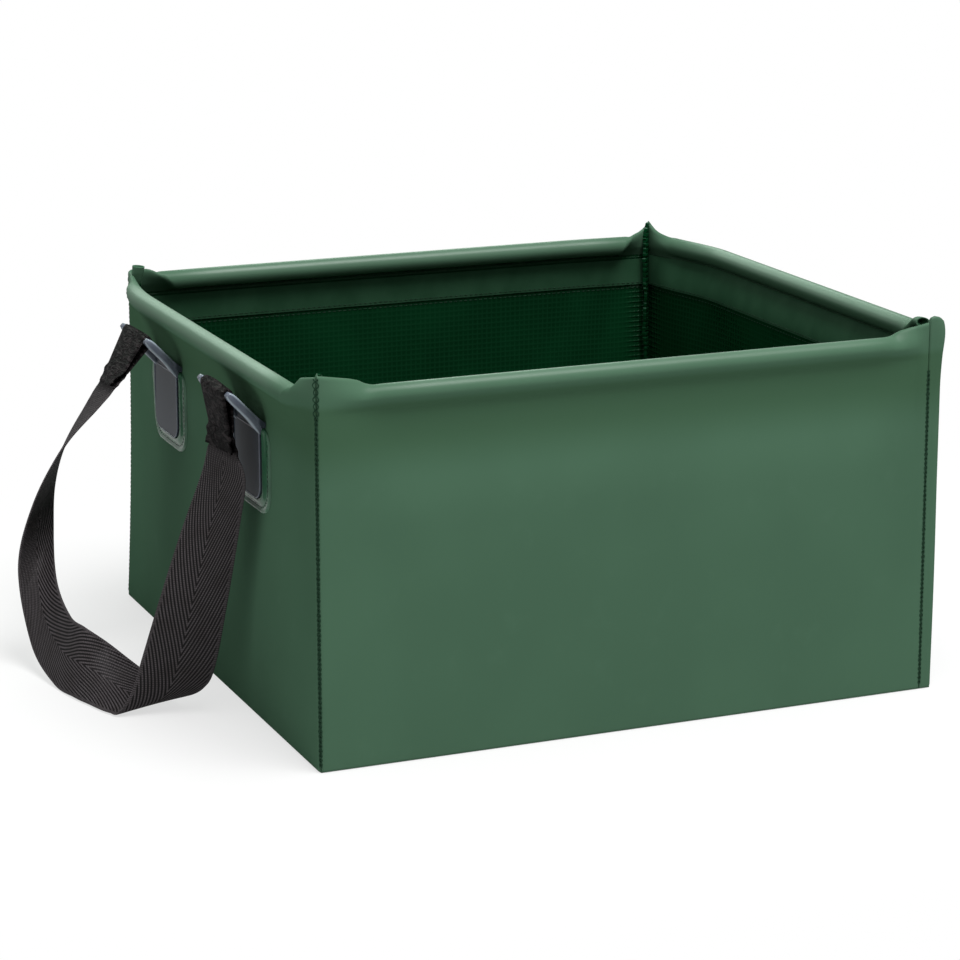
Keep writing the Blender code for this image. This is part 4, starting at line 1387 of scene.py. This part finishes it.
def strap_leg(sign):
    """(one edge, other edge) rows of the free strap, from the front bar to the rear bar."""
    stations = np.array(STRAP_STATIONS_MM) * MM
    stations[..., 0] = sign * (HALF_X + stations[..., 0])
    first, towards = stations[:, 0], stations[:, 1]
    edges = (first, first + unit(towards - first) * WEBBING_WIDTH)
    rows = []
    for index in range(len(first) - 1):
        for step in range(STEPS_PER_SPAN):
            rows.append([catmull_rom(edge, index, step / STEPS_PER_SPAN) for edge in edges])
    rows.append([edge[-1] for edge in edges])
    return np.array(rows)


def strap_end(sign, leg):
    """The wrap over a bar and the tail sewn back on the leg, nearest the bar first."""
    bar = np.array([BAR_OUT, BAR_Z])
    middle = leg[0].mean(axis=0)
    first = np.array([sign * middle[0] - HALF_X, middle[2]])
    travelled = float(np.linalg.norm(first - bar))
    down = (first - bar) / travelled
    inward = np.array([-down[1], down[0]])
    if inward[0] > 0:
        inward = -inward
    wrap = []
    for step in range(WRAP_STEPS + 1):
        angle = math.pi * step / WRAP_STEPS
        at = bar + WRAP_RADIUS * (math.cos(angle) * inward - math.sin(angle) * down)
        wrap.append([[sign * (HALF_X + at[0]), y, at[1]] for y in leg[0][:, 1]])
    tail = []
    previous = middle
    for row in leg:
        centre = row.mean(axis=0)
        travelled += float(np.linalg.norm(centre - previous))
        previous = centre
        if travelled > TAIL_LENGTH:
            break
        closing = min(travelled / TAIL_CLOSES_AT, 1.0)
        spacing = 2 * WRAP_RADIUS * (1 - closing) + TAIL_SPACING * closing
        tail.append(row + np.array([-inward[0] * sign, 0.0, -inward[1]]) * spacing)
    return wrap, tail


def handle(side, sign):
    """Herringbone webbing from bar to bar, each end wrapped and sewn back."""
    leg = strap_leg(sign)
    front_wrap, front_tail = strap_end(sign, leg)
    rear_wrap, rear_tail = strap_end(sign, leg[::-1])
    rows = np.array(front_tail[::-1] + front_wrap[::-1] + list(leg) + rear_wrap + rear_tail)
    centre = rows.mean(axis=1)
    along = distances(centre)
    across = rows[:, 1] - rows[:, 0]
    normal = unit(np.cross(np.gradient(centre, axis=0), across))
    shares = np.array(STRAP_ACROSS)
    # webbing is thinner and round at its two edges
    half = WEBBING / 2 * np.sqrt(np.clip(1 - np.abs(shares) ** 24, 0, 1)) * 0.97
    from_end = np.minimum(along, along[-1] - along)
    reach = 2 * TAIL_LENGTH + 3.2 * WRAP_RADIUS
    sewn = 1 - smoothstep((from_end - reach + 4 * MM) / (8 * MM))
    rng = np.random.default_rng(5 if side == "left" else 6)
    crumple = rng.normal(0, 1, (len(rows), len(shares)))
    for _ in range(3):
        soften(crumple)
        soften(crumple.T)
    swing = 1.5 * MM * crumple * sewn[:, None]
    # the doubled ends are gathered a little, except over the bar
    from_bar = np.abs(from_end - TAIL_LENGTH - math.pi / 2 * WRAP_RADIUS)
    loose = sewn * smoothstep((from_bar - 4 * MM) / (12 * MM))
    gathered = 1 - loose * (0.12 + 0.05 * np.sin(along * 520) + 0.04 * np.sin(along * 1130 + 2))
    spots = centre[:, None] + (across * gathered[:, None] / 2)[:, None] * shares[:, None]
    top = spots + normal[:, None] * (half + swing)[..., None]
    under = spots - normal[:, None] * (half - swing)[..., None]
    grid = np.concatenate([top, under[:, ::-1]], axis=1)
    wide = shares * WEBBING_WIDTH / 2
    cloth = np.zeros(grid.shape)
    cloth[..., 0] = np.concatenate([wide, wide[::-1]])
    cloth[..., 1] = along[:, None]
    shape = Shape()
    shape.add_tube(grid, cloth, turned=True)
    name = "webbing_" + side
    piece = shape.build(name, [WEBBING_MATERIAL], side + "_handle", "handle_" + side)
    turn_outward(piece)
    marks = piece.data.attributes.new("doubled", "FLOAT", "POINT")
    marks.data.foreach_set("value", np.repeat(sewn, grid.shape[1]).astype(np.float32))


def stiffener_rod(wall):
    """The rod hidden in a hem, which keeps the rim straight."""
    reach = wall.half - wall.stop - ROD_END_GAP
    u = np.linspace(-reach, reach, 60)
    angles = round_angles(16)
    # both ends are ground to a small chamfer
    radius = ROD_RADIUS - ROD_CHAMFER + np.minimum(reach - np.abs(u), ROD_CHAMFER)
    centre = wall.hem_depth + (-ROD_ASIDE if wall.long else ROD_ASIDE)
    depth = radius[:, None] * np.cos(angles)
    height = HEM_Z + radius[:, None] * np.sin(angles)
    middle = place(wall, u, centre, HEM_Z)
    grid = np.empty(depth.shape + (3,))
    grid[..., :2] = middle[:, None, :2] - depth[..., None] * wall.normal
    grid[..., 2] = height
    shape = Shape()
    cloth = np.stack(np.broadcast_arrays(u[:, None], height, centre + depth), axis=-1)
    shape.add_tube(grid, cloth)
    replaced = wall.name + "_stiffener_rod"
    turn_outward(shape.build(wall.name + "_rod", [ROD_MATERIAL], "rim", replaced))


def dress_loops():
    """The moulded loops stay as they are, with softer edges."""
    for name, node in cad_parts.items():
        if not name.startswith("webbing_loop"):
            continue
        node.data.materials.clear()
        node.data.materials.append(LOOP_MATERIAL)
        for polygon in node.data.polygons:
            polygon.material_index = 0
        weld = node.modifiers.new("weld", "WELD")
        weld.merge_threshold = 0.01 * MM
        bevel = node.modifiers.new("bevel", "BEVEL")
        bevel.width = 0.5 * MM
        bevel.segments = 3
        bevel.limit_method = "ANGLE"
        bevel.angle_limit = math.radians(35)


def aim(thing, place_at, ahead):
    thing.location = place_at
    thing.rotation_mode = "QUATERNION"
    thing.rotation_quaternion = ahead.to_track_quat("-Z", "Y")


def stage():
    """Camera, lamps, a white world and a floor that keeps the shadow."""
    scene = bpy.context.scene
    scene.view_settings.view_transform = "Standard"
    camera = add_object("camera", bpy.data.cameras.new("camera"))
    camera.data.sensor_width = SENSOR_MM
    camera.data.lens = CAMERA_LENS_MM
    level = math.cos(CAMERA_ELEVATION)
    across, ahead = -math.sin(CAMERA_AZIMUTH) * level, math.cos(CAMERA_AZIMUTH) * level
    aim(camera, CAMERA_PLACE, Vector((across, ahead, -math.sin(CAMERA_ELEVATION))))
    scene.camera = camera

    for name, place_at, size, watts, tint, glints in LAMPS:
        lamp = add_object(name, bpy.data.lights.new(name, "AREA"))
        lamp.data.shape = "RECTANGLE"
        lamp.data.size, lamp.data.size_y = size
        lamp.data.energy = watts
        lamp.data.color = tint
        lamp.visible_camera = False
        lamp.visible_glossy = glints
        aim(lamp, place_at, LAMP_TARGET - Vector(place_at))

    scene.world = bpy.data.worlds.new("studio")
    g = Graph(scene.world)
    strengths = {"Value": g.seen(), "To Min": WORLD_FILL, "To Max": 1.0}
    strength = g.feed(g.node("ShaderNodeMapRange"), strengths)
    g.feed(g.nodes["Background"], {"Color": (1, 1, 1, 1), "Strength": strength})

    g = new_graph("floor_white").in_space()
    g.finish(g.mix(g.noise(8.0, 2.0), FLOOR_DARK, FLOOR_LIGHT), 0.9)
    stretch = g.node("ShaderNodeVectorMath", operation="MULTIPLY")
    away = g.node("ShaderNodeVectorMath", operation="LENGTH")
    g.feed(away, {0: g.feed(stretch, {0: g.vector, 1: FLOOR_STRETCH})})
    white = g.ramp(away.outputs["Value"], *FLOOR_FADE, FLOOR_WHITE_NEAR, 1.0)
    glow = g.node("ShaderNodeEmission").outputs[0]
    own = g.nodes["Principled BSDF"].outputs[0]
    shown = g.feed(g.node("ShaderNodeMixShader"), {"Fac": g.times(white, g.seen()), 1: own, 2: glow})
    g.links.new(shown, g.nodes["Material Output"].inputs["Surface"])
    mesh = bpy.data.meshes.new("floor")
    corners = [(x * FLOOR_REACH, y * FLOOR_REACH, 0) for x, y in ((-1, -1), (1, -1), (1, 1), (-1, 1))]
    mesh.from_pydata(corners, [], [(0, 1, 2, 3)])
    mesh.materials.append(g.owner)
    add_object("floor", mesh)


def main():
    stage()
    posts = {}
    ears = {}
    for wall in WALLS.values():
        halves, heights = wall_pieces(wall)
        for corner, half in halves.items():
            posts.setdefault(corner, []).append(half)
        for corner, half in hem_pieces(wall).items():
            ears.setdefault(corner, []).append(half)
        facings(wall)
        stiffener_rod(wall)
    corner_posts(posts, heights)
    rim_corners(ears)
    for corner, stations in ROLLS_MM.items():
        cloth_roll(corner, stations)
    base_cloth()
    for side, sign in (("left", -1), ("right", 1)):
        wall = WALLS[side]
        handle(side, sign)
        for end, centre_y in (("front", -ANCHOR_OFFSET_Y), ("back", ANCHOR_OFFSET_Y)):
            anchor_patch(wall, end, centre_y * wall.tangent[1])
            for arm_sign in (-1, 1):
                loop_arm(wall, sign, end, centre_y, arm_sign)
    dress_loops()


main()
